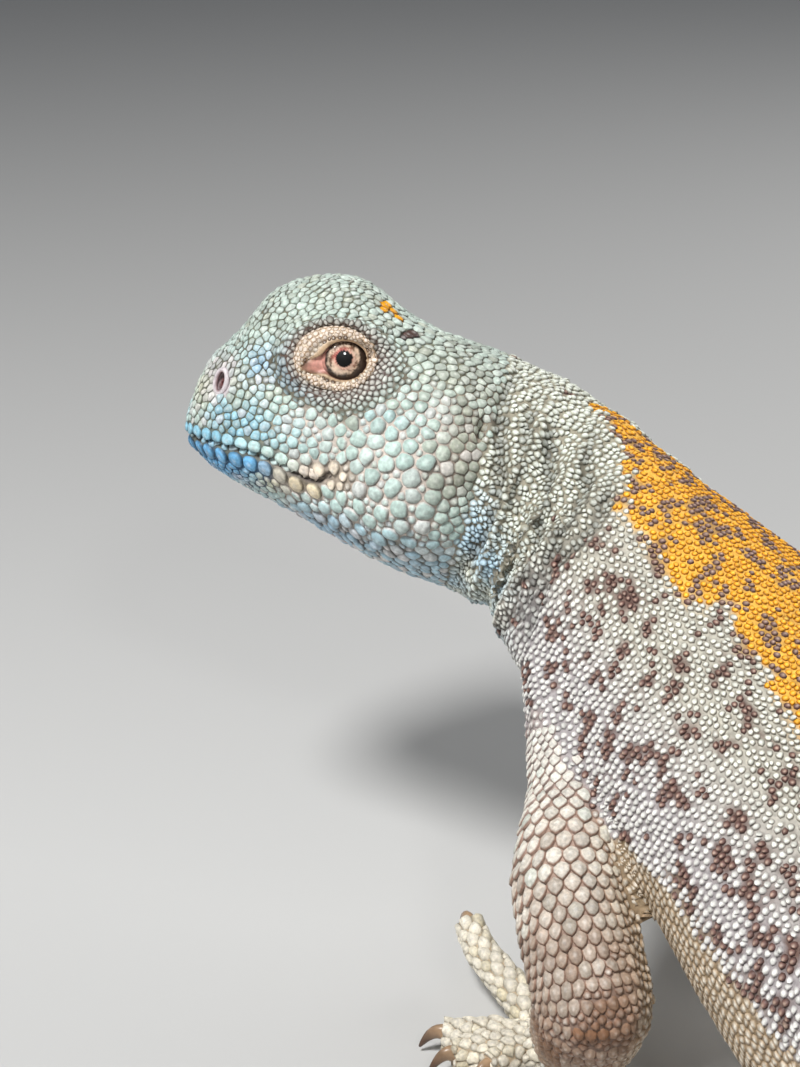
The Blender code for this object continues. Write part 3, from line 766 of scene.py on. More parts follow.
def trunkScales():
    shape = trunkRowShape
    steps = shape["samples"]
    line = [trunkFrame((len(trunkLine) - 1) * k / steps) for k in range(steps + 1)]
    lengths = [0.0]
    for a, b in zip(line, line[1:]):
        lengths.append(lengths[-1] + (b[0] - a[0]).length)
    rowPlaces = [shape["firstRow"]]
    while rowPlaces[-1] < lengths[-1]:
        share = np.interp(rowPlaces[-1], lengths, range(steps + 1)) / steps
        rowPlaces.append(rowPlaces[-1] + shape["rowStep"] * trunkPitch(math.pi, share))
    trees = [treeOf(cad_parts[name].data) for name in ("neck", "torso")]
    rows = []
    for row, along in enumerate(rowPlaces[:-1]):
        t = np.interp(along, lengths, range(steps + 1)) * (len(trunkLine) - 1) / steps
        centre, ahead, side, up = trunkFrame(t)
        outline = ringOutline(centre, side, up)
        share = t / (len(trunkLine) - 1)
        for angle in ringPlaces(outline, lambda turn: trunkPitch(math.pi - turn, share), row % 2 / 2):
            loose = 1.0 + shape["neckLoose"] * (1 - fade(t, 2.0, 3.2))
            jitter = random.uniform(-shape["turnJitter"], shape["turnJitter"]) * loose
            direction = up * math.cos(angle + jitter) + side * math.sin(angle + jitter)
            start = centre + ahead * random.uniform(-shape["placeJitter"], shape["placeJitter"]) * loose
            hit, normal, _, _ = skinTree.ray_cast(start, direction)
            if hit is None:
                continue
            offTrunk = min(tree.find_nearest(hit)[3] for tree in trees) > shape["reach"]
            if offTrunk or hit.z < shape["lowest"] or deepInFold(hit):
                continue
            size = trunkPitch(math.pi - angle, share)
            if not clearance.isFree(hit, size, shape["share"]):
                continue
            size *= random.uniform(1 - shape["sizeJitter"] * loose, 1 + shape["sizeJitter"] * loose)
            mapPlace = (angle / (2 * math.pi), along / lengths[-1])
            rows.append((hit, facing(normal, direction), ahead, size, *mapPlace, (t, tidyAngle(angle))))
    for row in rows:
        clearance.take(row[0], row[3])
    return rows


def trunkPitch(fromBelow, share):
    # a little wider below and towards the rear
    under = fade(-abs(tidyAngle(fromBelow)), -80, -45)
    front, rear = trunkShape["pitchFront"], trunkShape["pitchRear"]
    return front + (rear - front) * fade(share, 0.4, 0.7) + 0.15 * under


# Limb scales: large keeled ones on the outer face, small ones inside
limbScaleSizes = {
    "along": (0.0, 0.15, 0.24, 0.34, 0.46, 0.58, 0.7, 0.84, 1.0),
    "size": (1.0, 1.05, 1.45, 1.9, 1.9, 1.5, 1.2, 1.2, 1.05),
    "start": 0.15,
    "end": 0.96,
    "outerSpan": 100.0,
    "step": 0.8,  # between rows, as a share of the scales' size
    "toe": (2.2, 1.6),
    "toeStep": 0.72,
    "sizes": (0.95, 1.05),
    "lowest": 0.3,
    "reach": (1.45, 0.8),  # the farthest skin that counts as the limb's own: times its radius, and more
}


def limbSize(along, angle):
    size = float(np.interp(along, limbScaleSizes["along"], limbScaleSizes["size"]))
    return size + (1.0 - size) * 0.8 * fade(abs(tidyAngle(angle)), 50, limbScaleSizes["outerSpan"])


def toeSize(along, angle):
    # wide plates over the top, small ones at the sides
    return limbScaleSizes["toe"][0 if abs(tidyAngle(angle)) < 40 else 1] * (1 - 0.15 * along)


def limbSamples(line, steps=160):
    points = [curveAt(line, (len(line) - 1) * k / steps) for k in range(steps + 1)]
    centres = [Vector(p[:3]) for p in points]
    lengths = [0.0]
    for a, b in zip(centres, centres[1:]):
        lengths.append(lengths[-1] + (b - a).length)
    return points, centres, lengths


def tubeScales(line, outer, pitch, step, mark, span=181.0, start=0.0, end=1.0, share=0.6, stagger=0.5):
    # rows round a limb or toe; outer is the direction that angle zero faces
    points, centres, lengths = limbSamples(line)
    farTimes, farMore = limbScaleSizes["reach"]
    rows = []
    reachNow, number = lengths[-1] * start, 0
    while reachNow < lengths[-1] * end:
        along = reachNow / lengths[-1]
        k = np.interp(reachNow, lengths, range(len(lengths)))
        i = min(int(k), len(centres) - 2)
        centre = centres[i].lerp(centres[i + 1], k - i)
        ahead = (centres[min(i + 3, len(centres) - 1)] - centres[max(i - 3, 0)]).normalized()
        up = (outer - ahead * outer.dot(ahead)).normalized()
        side = ahead.cross(up)
        radius = np.interp(k, range(len(points)), [p[3] for p in points])
        outline = ringOutline(centre, side, up, 36)
        for angle in ringPlaces(outline, lambda a: pitch(along, a), number % 2 * stagger):
            turn = abs(tidyAngle(angle))
            direction = up * math.cos(angle) + side * math.sin(angle)
            hit, normal, _, reach = skinTree.ray_cast(centre, direction)
            if hit is None or turn >= span or reach > radius * farTimes + farMore:
                continue
            if hit.z < limbScaleSizes["lowest"]:
                continue
            size = pitch(along, angle) * random.uniform(*limbScaleSizes["sizes"])
            if clearance.isFree(hit, size, share, share):
                normal = facing(normal, direction)
                rows.append((hit, normal, ahead, size, angle / (2 * math.pi), along, (mark, turn, along)))
                clearance.take(hit, size)
        reachNow += step * pitch(along, 0.0)
        number += 1
    return rows


# Head scales: spread over the skin, each keeping the distance that its place asks for
headScales = {
    "snout": 0.98,
    "crown": 1.0,
    "temple": 1.25,
    "cheek": 2.1,
    "underEye": 1.35,
    "throat": 1.5,
    "crownFrom": (5, 12),  # where one size fades into the next, in the head's axes
    "templeFrom": (18, 26),
    "cheekSpan": ((13, 22), (3.5, 8.5), (-11.5, -7.0)),
    "underEyeSpan": ((9, 14), (20, 24), (1, 5), (-3, 0)),
    "throatFrom": (8.0, 10.5),
    "backFrom": (32.0, 36.5),
    "stretch": 1.26,
    "candidates": 60000,
    "sizes": (0.85, 1.12),
    "share": 0.8,
    "offLids": 0.15,
    "offNostrils": 1.85,
    "relaxing": 16,
}


def headScaleSize(local):
    x, y, z = local
    size = headScales["snout"]
    size += (headScales["crown"] - headScales["snout"]) * fade(x, *headScales["crownFrom"])
    size += (headScales["temple"] - headScales["crown"]) * fade(x, *headScales["templeFrom"])
    behind, (low, high), above = headScales["cheekSpan"]
    cheek = fade(x, *behind) * fade(-z, -high, -low) * fade(z, *above)
    size += (headScales["cheek"] - size) * cheek
    behind, before, (low, high), above = headScales["underEyeSpan"]
    under = fade(x, *behind) * (1 - fade(x, *before)) * fade(-z, -high, -low) * fade(z, *above)
    size += (headScales["underEye"] - size) * under * 0.7
    size += (headScales["throat"] - size) * fade(-z, *headScales["throatFrom"])
    return size + (1.0 - size) * fade(x, *headScales["backFrom"])


def inOrbit(local, grow=0.0):
    x, z = local.x - lidShape["centre"][0], local.z - lidShape["centre"][1]
    tilt = math.radians(lidShape["outerTilt"])
    along, across = x * math.cos(tilt) + z * math.sin(tilt), z * math.cos(tilt) - x * math.sin(tilt)
    return math.hypot(along / (lidShape["outer"][0] + grow), across / (lidShape["outer"][1] + grow)) < 1


def headMapPlace(x, y, z):
    return math.atan2(y, z) / (2 * math.pi) + 0.5, x / 40


lipShape = {
    "rows": ((1.05, 1.7, 1.85), (-1.3, 2.15, 2.35)),  # above the mouth line, pitch and size
    "first": 0.42,
    "end": 0.8,
    "rise": 1.5,
    "share": 0.55,
    "knobs": (
        (18.3, -1.5, 1.8), (20.1, -0.5, 1.6), (21.5, -1.2, 1.15), (21.4, -2.5, 1.05), (20.3, -2.7, 1.15),
    ),
    "knobLie": (0.35, 0, -0.9),
}


def lipScales():
    rows = []
    for side in (-1, 1):
        line = [headPlace @ Vector(headShape["mouthFront"])]
        line += [cheekPoint(x, z, side) for x, z in headShape["mouth"][::-1]]
        _, centres, lengths = limbSamples([tuple(p) for p in line], 120)
        for above, pitch, size in lipShape["rows"]:
            for k in range(int((lengths[-1] - lipShape["end"]) / pitch)):
                i = int(np.interp((k + lipShape["first"]) * pitch, lengths, range(len(lengths))))
                ahead = (centres[min(i + 2, len(centres) - 1)] - centres[max(i - 2, 0)]).normalized()
                # the skin faces two ways in the groove, so its lie is taken below and above it
                rises = [headTurn @ Vector((0, 0, rise)) for rise in (-lipShape["rise"], lipShape["rise"])]
                below, over = (skinTree.find_nearest(centres[i] + rise)[1] for rise in rises)
                across = ahead.cross((below + over).normalized()).normalized()
                up = facing(across, headTurn @ Vector((0, 0, 1)))
                place, normal, _, _ = skinTree.find_nearest(centres[i] + up * above)
                if clearance.isFree(place, size, lipShape["share"]):
                    local = headBack @ place
                    mark, lie = ("lip", local, above > 0), -up if above > 0 else ahead
                    rows.append((place, normal, lie, size, *headMapPlace(*local), mark))
                    clearance.take(place, size)
    return rows


def cornerKnobs():
    # blunt pointed scales at the corner of the mouth
    rows = []
    for side in (-1, 1):
        for x, z, size in lipShape["knobs"]:
            place, normal, _, _ = skinTree.find_nearest(cheekPoint(x, z, side))
            lie = headTurn @ Vector(lipShape["knobLie"])
            rows.append((place, normal, lie, size, *headMapPlace(x, (headBack @ place).y, z), ("knob",)))
            clearance.take(place, size)
    return rows


def stretched(local):
    return Vector((local.x / headScales["stretch"], local.y, local.z))


def spotOn(corners):
    # a random place on the triangle of these corners
    a, b, c = (skin.data.vertices[number].co for number in corners)
    s, r = random.random(), random.random()
    if s + r > 1:
        s, r = 1 - s, 1 - r
    return (a + (b - a) * s + (c - a) * r) / mm + boxMiddle


def spreadHeadScales():
    faces, weights = [], []
    for face in skin.data.polygons:
        local = headBack @ (face.center / mm + boxMiddle)
        if local.x < headShape["length"] + 0.6 and abs(local.y) < 22 and -18 < local.z < 26:
            faces.append(face)
            weights.append(face.area)
    chosen = random.choices(faces, weights, k=headScales["candidates"])
    taken = Clearance(3.0)
    rowsSoFar = [row for group in scaleSets for row in group["rows"] if nearHead(row[0])]
    guards = [(stretched(headBack @ row[0]), row[3]) for row in rowsSoFar] + orbitGuards()
    for place, size in guards:
        taken.take(place, size)
    places = []
    for face in chosen:
        local = headBack @ spotOn(face.vertices[:3])
        inOpenings = inOrbit(local, headScales["offLids"]) or nearNostril(local, headScales["offNostrils"])
        if inOpenings or local.x > headShape["length"] + 0.4:
            continue
        size = headScaleSize(local) * random.uniform(*headScales["sizes"])
        if taken.isFree(stretched(local), size, headScales["share"], headScales["share"]):
            taken.take(stretched(local), size)
            places.append((stretched(local), size))
    return relaxed(places, guards)


def nearHead(p):
    return (headBack @ p).x < headShape["length"] + 3


guardShape = {
    "lidCount": 44,
    "lidInset": 0.35,
    "lidSize": 0.9,
    "nostrilCount": 12,
    "nostrilRadii": (0.9, 1.4),
    "nostrilSize": 0.6,
}


def orbitGuards():
    # places that keep the head's scales off the lids and nostrils
    shape = guardShape
    lidRadii = [r - shape["lidInset"] for r in lidShape["outer"]]
    ovals = (
        ((lidShape["centre"], lidRadii, lidShape["outerTilt"]), shape["lidCount"], shape["lidSize"]),
        ((headShape["nostril"], shape["nostrilRadii"], 0.0), shape["nostrilCount"], shape["nostrilSize"]),
    )
    guards = []
    for side in (-1, 1):
        for oval, count, size in ovals:
            for k in range(count):
                x, z = ellipsePoint(*oval, 2 * math.pi * k / count)
                guards.append((stretched(headBack @ cheekPoint(x, z, side)), size))
    return guards


def nearNostril(local, reach):
    x, z = headShape["nostril"]
    return local.x < 9 and math.hypot((local.x - x) / 0.75, (local.z - z)) < reach


def evenOut(points, sizes, count, turns, onto):
    # pushes the first points apart, each kept on the skin
    for _ in range(turns):
        tree = pointTree(points)
        for i in range(count):
            push = np.zeros(3)
            for _, j, distance in tree.find_n(points[i], 8):
                want = (sizes[i] + sizes[j]) / 2 * 1.03
                if 0 < distance < want:
                    push += (points[i] - points[j]) / distance * (want - distance) * 0.25
            points[i] = onto(points[i] + push)


def unstretched(x, y, z):
    return headPlace @ Vector((x * headScales["stretch"], y, z))


def onHead(p):
    return np.array(stretched(headBack @ skinTree.find_nearest(unstretched(*p))[0]))


def relaxed(places, guards):
    points = np.array([tuple(p) for p, _ in places + guards])
    sizes = np.array([size for _, size in places + guards])
    evenOut(points, sizes, len(places), headScales["relaxing"], onHead)
    rows = []
    for point, size in zip(points[:len(places)], sizes):
        place, normal, _, _ = skinTree.find_nearest(unstretched(*point))
        local = headBack @ place
        if not inOrbit(local, -0.3):
            lie = headTurn @ Vector((1, 0, -0.5 * fade(-local.z, -9, -4)))
            rows.append((place, normal, lie, size, *headMapPlace(*local), ("head", local)))
    return rows


# Eyelids: folds from the opening to the edge of the orbit, with rows of beads on them
lidShape = {
    "centre": (17.5, 11.1),
    "outer": (7.9, 5.7),
    "outerTilt": 12.0,
    "opening": (18.1, 11.9),
    "openingRadius": 2.5,
    "corner": (13.3, 9.7),
    "cornerWidth": 0.27,
    "foldCentre": (16.9, 11.9),
    "foldRadii": (5.0, 3.9),
    "eye": (17.4, 8.0, 11.7),
    "eyeRadius": 5.0,
    "turns": 220,
    "rings": 46,
    "fold": 0.4,
    "innerRows": [(0.115, 0.34), (0.175, 0.38), (0.24, 0.4), (0.31, 0.42), (0.365, 0.38)],
    "outerRows": 8,
    "outerSizes": (0.42, 0.78),
    "outerSpan": (0.05, 0.54),
    "beadStep": 1.9,
    "beadShift": 0.24,
    "beadWander": 0.16,
    "beadSizes": (0.82, 1.15),
    "beadShare": 0.74,
}


def ellipsePoint(centre, radii, tilt, angle):
    x, z = radii[0] * math.cos(angle), radii[1] * math.sin(angle)
    cos, sin = math.cos(math.radians(tilt)), math.sin(math.radians(tilt))
    return centre[0] + x * cos - z * sin, centre[1] + x * sin + z * cos


def ellipseReach(middle, way, centre, radii, tilt):
    # how far it is from a point inside an ellipse to its edge
    lean = math.radians(tilt)
    back = np.array([[math.cos(lean), math.sin(lean)], [-math.sin(lean), math.cos(lean)]])
    start = back @ (middle - np.array(centre)) / np.array(radii)
    step = back @ way / np.array(radii)
    half = start @ step
    return (-half + math.sqrt(half * half - (step @ step) * (start @ start - 1))) / (step @ step)


def lidRay(angle):
    # the eyeball's edge, the lid's edge, the fold and the orbit's edge in one direction
    middle = np.array(lidShape["opening"])
    way = np.array([math.cos(angle), math.sin(angle)])
    radius = lidShape["openingRadius"] * (1 - 0.07 * math.cos(2 * angle + 2.6))
    nearCorner = math.exp(-((cornerTurn(angle) / lidShape["cornerWidth"]) ** 2))
    edge = radius + (math.dist(lidShape["corner"], middle) - radius) * nearCorner
    fold = ellipseReach(middle, way, lidShape["foldCentre"], lidShape["foldRadii"], lidShape["outerTilt"])
    outer = ellipseReach(middle, way, lidShape["centre"], lidShape["outer"], lidShape["outerTilt"])
    return [middle + way * reach for reach in (radius - 0.08, edge, max(fold, edge + 0.5), outer)]


def cornerTurn(angle):
    gap = np.array(lidShape["corner"]) - np.array(lidShape["opening"])
    return (angle - math.atan2(gap[1], gap[0]) + math.pi) % (2 * math.pi) - math.pi


headTree = treeOf(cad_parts["head"].data)


def lidHeights(outlines, side):
    heights = np.zeros(outlines.shape[:2])
    eyeX, eyeY, eyeZ = lidShape["eye"]
    for i in range(outlines.shape[0]):
        for j in range(outlines.shape[1]):
            x, z = outlines[i, j]
            hit = fromSide(headTree, x, z, side)
            flat = abs((headBack @ hit).y) if hit else 0.0
            ball = (lidShape["eyeRadius"] + 0.5) ** 2 - (x - eyeX) ** 2 - (z - eyeZ) ** 2
            heights[i, j] = max(flat, eyeY + math.sqrt(max(ball, 0.0)))
    for _ in range(5):
        heights = (heights + np.roll(heights, 1, 0) + np.roll(heights, -1, 0)) / 3
        heights[:, 1:-1] = (heights[:, :-2] + heights[:, 1:-1] * 2 + heights[:, 2:]) / 4
    return heights


def lidGrid(side):
    # rings from the eyeball over the lid's edge and the fold to the edge of the orbit
    turns, rings, fold = lidShape["turns"], lidShape["rings"], lidShape["fold"]
    shares = np.concatenate([[-0.02, -0.01], np.linspace(0, 1, rings - 2) ** 1.1])
    outlines = np.zeros((turns, rings, 2))
    for i in range(turns):
        ball, edge, foldPoint, outer = lidRay(2 * math.pi * i / turns)
        for axis in (0, 1):
            stops = (ball[axis], (ball[axis] + edge[axis]) / 2, edge[axis], foldPoint[axis], outer[axis])
            outlines[i, :, axis] = np.interp(shares, (-0.02, -0.01, 0, fold, 1), stops)
    heights = lidHeights(outlines, side)
    lid, beyond = np.clip(shares / fold, 0, 1), np.clip((shares - fold) / (1 - fold), 0, 1)
    upper = np.clip(np.sin(2 * np.pi * np.arange(turns) / turns), 0, 1)[:, None]
    crease = np.exp(-(((shares - fold) / 0.028) ** 2))
    profile = 0.2 * np.exp(-(((lid - 0.14) / 0.12) ** 2)) + 0.13 * np.sin(np.pi * lid) - 0.3 * crease
    profile -= 0.1 * np.sin(np.pi * beyond * 6) ** 2 + 0.4 * np.clip((shares - 0.62) / 0.38, 0, 1) ** 1.5
    heights = heights + profile[None] + 0.06
    overhang = 0.18 * np.sin(np.pi * lid) - 0.25 * crease + 0.3 * np.sin(np.pi * beyond) ** 2
    heights = heights + upper * overhang[None]
    eyeX, eyeY, eyeZ = lidShape["eye"]
    gaps = outlines[:, 0] - np.array([eyeX, eyeZ])
    heights[:, 0] = eyeY + np.sqrt(lidShape["eyeRadius"] ** 2 - np.sum(gaps ** 2, axis=1)) - 0.04
    heights[:, 1] = (heights[:, 0] + heights[:, 2]) / 2 - 0.12
    heights[:, -1] -= 0.5
    local = np.stack([outlines[..., 0], heights * side, outlines[..., 1]], 2)
    return local @ np.array(headTurn.to_matrix()).T + np.array(headShape["snout"]), shares


def lidBeads(grid, shares, side):
    rows = []
    taken = Clearance(1.2)
    beadRows = list(lidShape["innerRows"])
    first, last = lidShape["outerSizes"]
    inner, width = lidShape["outerSpan"]
    steps = lidShape["outerRows"] - 1
    for k in range(steps + 1):
        beadRows.append((lidShape["fold"] + inner + width * k / steps, first + (last - first) * k / steps))
    for rowNumber, (share, size) in enumerate(beadRows):
        j = float(np.interp(share, shares, range(len(shares))))
        low, part = int(j), j % 1.0
        ring = grid[:, low] * (1 - part) + grid[:, low + 1] * part
        lengths = np.linalg.norm(np.roll(ring, -1, 0) - ring, axis=1)
        total = np.concatenate([[0], np.cumsum(lengths)])
        count = int(total[-1] / (size * lidShape["beadStep"]))
        for k in range(count):
            shift = random.uniform(-lidShape["beadShift"], lidShape["beadShift"])
            at = (k + 0.5 * (rowNumber % 2) + shift) * total[-1] / count % total[-1]
            i = min(int(np.searchsorted(total, at)) - 1, len(ring) - 1) if at > 0 else 0
            after = (i + 1) % len(ring)
            place = Vector(ring[i] + (ring[after] - ring[i]) * (at - total[i]) / max(lengths[i], 1e-6))
            away = Vector(grid[i, low + 1] - grid[i, low]).normalized()
            place += away * lidShape["beadWander"] * noise.noise(place * 1.2)
            along = Vector(ring[after] - ring[i]).normalized()
            out = Vector(grid[i, low + 1] - grid[i, low - 1]).normalized()
            normal = facing(along.cross(out).normalized(), headTurn @ Vector((0, side, 0)))
            own = size * random.uniform(*lidShape["beadSizes"])
            if taken.isFree(place, own, lidShape["beadShare"], lidShape["beadShare"]):
                taken.take(place, own)
                mapPlace = (0.02 + 0.96 * i / len(ring), 0.3 + 0.4 * share)
                mark = ("lid", share, math.degrees(2 * math.pi * i / len(ring)))
                rows.append((place, normal, out, own, *mapPlace, mark))
    return rows


# Where the trunk's markings lie: places along its line with the angle from the middle of the back
trunkMarks = {
    "orangeEdge": [
        (0, 3), (1.2, 4), (1.7, 7), (2.9, 22), (3.3, 28), (3.7, 27),
        (4, 25), (4.3, 26), (4.8, 30), (7, 32), (9, 34), (11, 60),
    ],
    "bellyFrom": 88.0,
    "bellyStart": 3.9,
    "bellyFade": 1.2,
    "flankFrom": 2.4,
}


def backMiddle(t):
    return 2.0 + min(12.0, max(0.0, 3.6 * (t - 1.0)))


def trunkZone(t, angle, place):
    edge = float(np.interp(t, *zip(*trunkMarks["orangeEdge"])))
    turn = abs(angle - backMiddle(t))
    reach = edge + backMiddle(t) + noise.noise(place * 0.2) * 9 + noise.noise(place * 0.55) * 6
    if t > 1.0 and turn < reach:
        return "orange"
    bellyFade = trunkMarks["bellyFade"]
    belly = trunkMarks["bellyFrom"] + 14 * fade(trunkMarks["bellyStart"] + bellyFade - t, 0, bellyFade)
    if abs(angle) > belly and t > trunkMarks["bellyStart"]:
        return "belly"
    return "neck" if t < trunkMarks["flankFrom"] else "flank"


def scaleLie(row, zone):
    # along the body, but downwards on the shoulder and flank
    t, angle = row[6]
    down = fade(abs(angle), 35, 62) * fade(t, 2.2, 3.4) * (1 - fade(t, 5.6, 7.0)) if zone == "flank" else 0.0
    _, ahead, side, up = trunkFrame(t)
    turn = math.radians(angle)
    around = (side * math.cos(turn) - up * math.sin(turn)) * (1 if angle > 0 else -1)
    return (ahead * (1 - 0.75 * down) + around * down).normalized()


random.seed(11)
noise.seed_set(11)
trunkRows = trunkScales()
zones = [trunkZone(*row[6], row[0]) for row in trunkRows]
trunkSets = {
    "back": ("pebble", "orange"),
    "neck": ("cone", "neck"),
    "flanks": ("granule", "flank"),
    "belly": ("belly", "belly"),
}
for name, (style, member) in trunkSets.items():
    chosen = [row for row, zone in zip(trunkRows, zones) if zone == member]
    addSet(name, style, [(*row[:2], scaleLie(row, member), *row[3:6], (member, *row[6])) for row in chosen])

limbRows = {"large": [], "toe": []}
sizes = limbScaleSizes
span = (sizes["outerSpan"], sizes["start"], sizes["end"])
for limbNumber, limb in enumerate(limbShapes.values()):
    outer = Vector(limb["outer"]).normalized()
    for toeNumber in range(5):
        path = toePath(limb, toeNumber)
        for row in tubeScales(path, Vector((0, 0, 1)), toeSize, sizes["toeStep"], "toe", share=0.5):
            limbRows["toe"].append((*row[:4], (limbNumber + row[4]) / 4, (2 + row[5]) / 3, row[6]))
    for row in tubeScales(limb["line"], outer, limbSize, sizes["step"], "limb", *span):
        limbRows["large"].append((*row[:4], (limbNumber + row[4]) / 4, row[5] / 3, row[6]))
addSet("limbLarge", "keeled", limbRows["large"])
addSet("toes", "toePlate", limbRows["toe"])

addSet("lips", "lip", lipScales())
addSet("mouthCorners", "knob", cornerKnobs())
addSet("head", "plate", spreadHeadScales())
lidGrids = {side: lidGrid(side) for side in (-1, 1)}
addSet("lids", "bead", lidBeads(*lidGrids[-1], -1) + lidBeads(*lidGrids[1], 1))

# Tail scales: a ring of spines at the rear edge of each band, with flat scales between
tailScales = {
    "spinePitch": 2.1,
    "spineRow": 0.83,
    "flatPitch": 1.5,
    "flatRows": (0.16, 0.36, 0.56),
    "share": 0.4,
}


def tailRows(share, pitch, offset, kind):
    centre, ahead, halfWidth, halfHeight = tailFrame(share)
    side, up = sideAndUp(ahead)
    outline = ringOutline(centre, side, up, 48)
    rows = []
    for angle in ringPlaces(outline, lambda a: pitch, offset):
        direction = up * math.cos(angle) + side * math.sin(angle)
        hit, normal, _, _ = skinTree.ray_cast(centre, direction)
        if hit is None or hit.z < 0.5:
            continue
        if clearance.isFree(hit, pitch, tailScales["share"]):
            clearance.take(hit, pitch)
            mark = (kind, abs(tidyAngle(angle)), share)
            rows.append((hit, facing(normal, direction), ahead, pitch, angle / (2 * math.pi), share, mark))
    return rows


spineRows, flatRows = [], []
for band in range(tailShape["rings"]):
    bands = tailShape["rings"]
    fit = 0.45 + 0.55 * (1 - band / bands)
    spinePlace = (band + tailScales["spineRow"]) / bands
    spineRows += tailRows(spinePlace, tailScales["spinePitch"] * fit, band % 2 / 2, "spine")
    for number, place in enumerate(tailScales["flatRows"]):
        flatRows += tailRows((band + place) / bands, tailScales["flatPitch"] * fit, number % 2 / 2, "flat")
addSet("tailSpines", "spine", spineRows)
addSet("tailFlats", "tile", flatRows)

# Small scales over all that is left bare: limbs, palms, folds between limbs and body
fillShape = {
    "limb": 0.98,
    "palm": 0.8,
    "body": 0.95,
    "tries": 260000,
    "share": 0.78,
    "unlike": 0.86,
    "evening": 6,
    "lowest": 0.4,
    "fromRows": 0.45,
    "fromMouth": 1.3,
}
limbSpots, rowsSoFar = [], [row for group in scaleSets for row in group["rows"]]
for limbNumber, limb in enumerate(limbShapes.values()):
    points, centres, lengths = limbSamples(limb["line"])
    for k in range(1, len(centres)):
        ahead = (centres[k] - centres[k - 1]).normalized()
        limbSpots.append((centres[k], ahead, points[k][3], limbNumber, lengths[k] / lengths[-1]))
    front = Vector(limb["sole"][:3])
    ahead = (front - centres[-1]).normalized()
    for k in range(9):
        limbSpots.append((centres[-1].lerp(front, k / 6), ahead, limb["sole"][3], limbNumber, None))
spotTree = pointTree([spot[0] for spot in limbSpots])
rowTree = pointTree([row[0] for row in rowsSoFar])


def offLimb(reach, radius):
    return reach > radius * 1.35 + 1.2


def fillRow(place, normal, size):
    _, number, reach = spotTree.find(place)
    centre, ahead, radius, limbNumber, along = limbSpots[number]
    near = rowsSoFar[rowTree.find(place)[1]]
    if offLimb(reach, radius):
        return (place, normal, near[2], size, *near[4:])
    outer = Vector(list(limbShapes.values())[limbNumber]["outer"])
    up = (outer - ahead * outer.dot(ahead)).normalized()
    gap = place - centre
    angle = math.atan2(gap.dot(ahead.cross(up)), gap.dot(up))
    mark = ("palm", 0.0, 0.0) if along is None else ("limb", abs(math.degrees(angle)), along)
    mapPlace = ((limbNumber + angle / (2 * math.pi) % 1.0) / 4, (1 + (along or 1.0)) / 3)
    return (place, normal, ahead, size, *mapPlace, mark)


def inOpening(p):
    local = headBack @ p
    if local.x >= headShape["length"] - 1:
        return False
    return inOrbit(local, -0.1) or nearNostril(local, 1.9) or mouthTree.find(p)[2] < fillShape["fromMouth"]


def fillSize(p):
    _, number, reach = spotTree.find(p)
    _, _, radius, _, along = limbSpots[number]
    if offLimb(reach, radius):
        return fillShape["body"]
    return fillShape["palm" if along is None else "limb"]


def fillScales():
    polygons = skin.data.polygons
    areas = [face.area for face in polygons]
    faces = random.choices(range(len(areas)), areas, k=fillShape["tries"])
    places = []
    for number in faces:
        p = spotOn(polygons[number].vertices[:3])
        if p.z < fillShape["lowest"] or rowTree.find(p)[2] < fillShape["fromRows"]:
            continue
        if deepInFold(p) or inOpening(p):
            continue
        size = fillSize(p) * random.uniform(0.9, 1.1)
        if clearance.isFree(p, size, fillShape["share"], fillShape["unlike"]):
            clearance.take(p, size)
            places.append((p, size))
    points = np.array([tuple(p) for p, _ in places] + [tuple(row[0]) for row in rowsSoFar])
    sizes = np.array([size for _, size in places] + [row[3] for row in rowsSoFar])
    evenOut(points, sizes, len(places), fillShape["evening"], lambda p: np.array(skinTree.find_nearest(p)[0]))
    rows = []
    for p, size in zip(points[:len(places)], sizes):
        place, normal, _, _ = skinTree.find_nearest(p)
        rows.append(fillRow(place, normal, size))
    return rows


for group in scaleSets:
    if group["name"] in ("head", "lips", "mouthCorners"):
        for row in group["rows"]:
            clearance.take(row[0], row[3])
fillRows = fillScales()
limbKinds = ("limb", "palm", "toe")
addSet("limbSmall", "small", [row for row in fillRows if row[6][0] in limbKinds])
addSet("seams", "small", [row for row in fillRows if row[6][0] not in limbKinds])

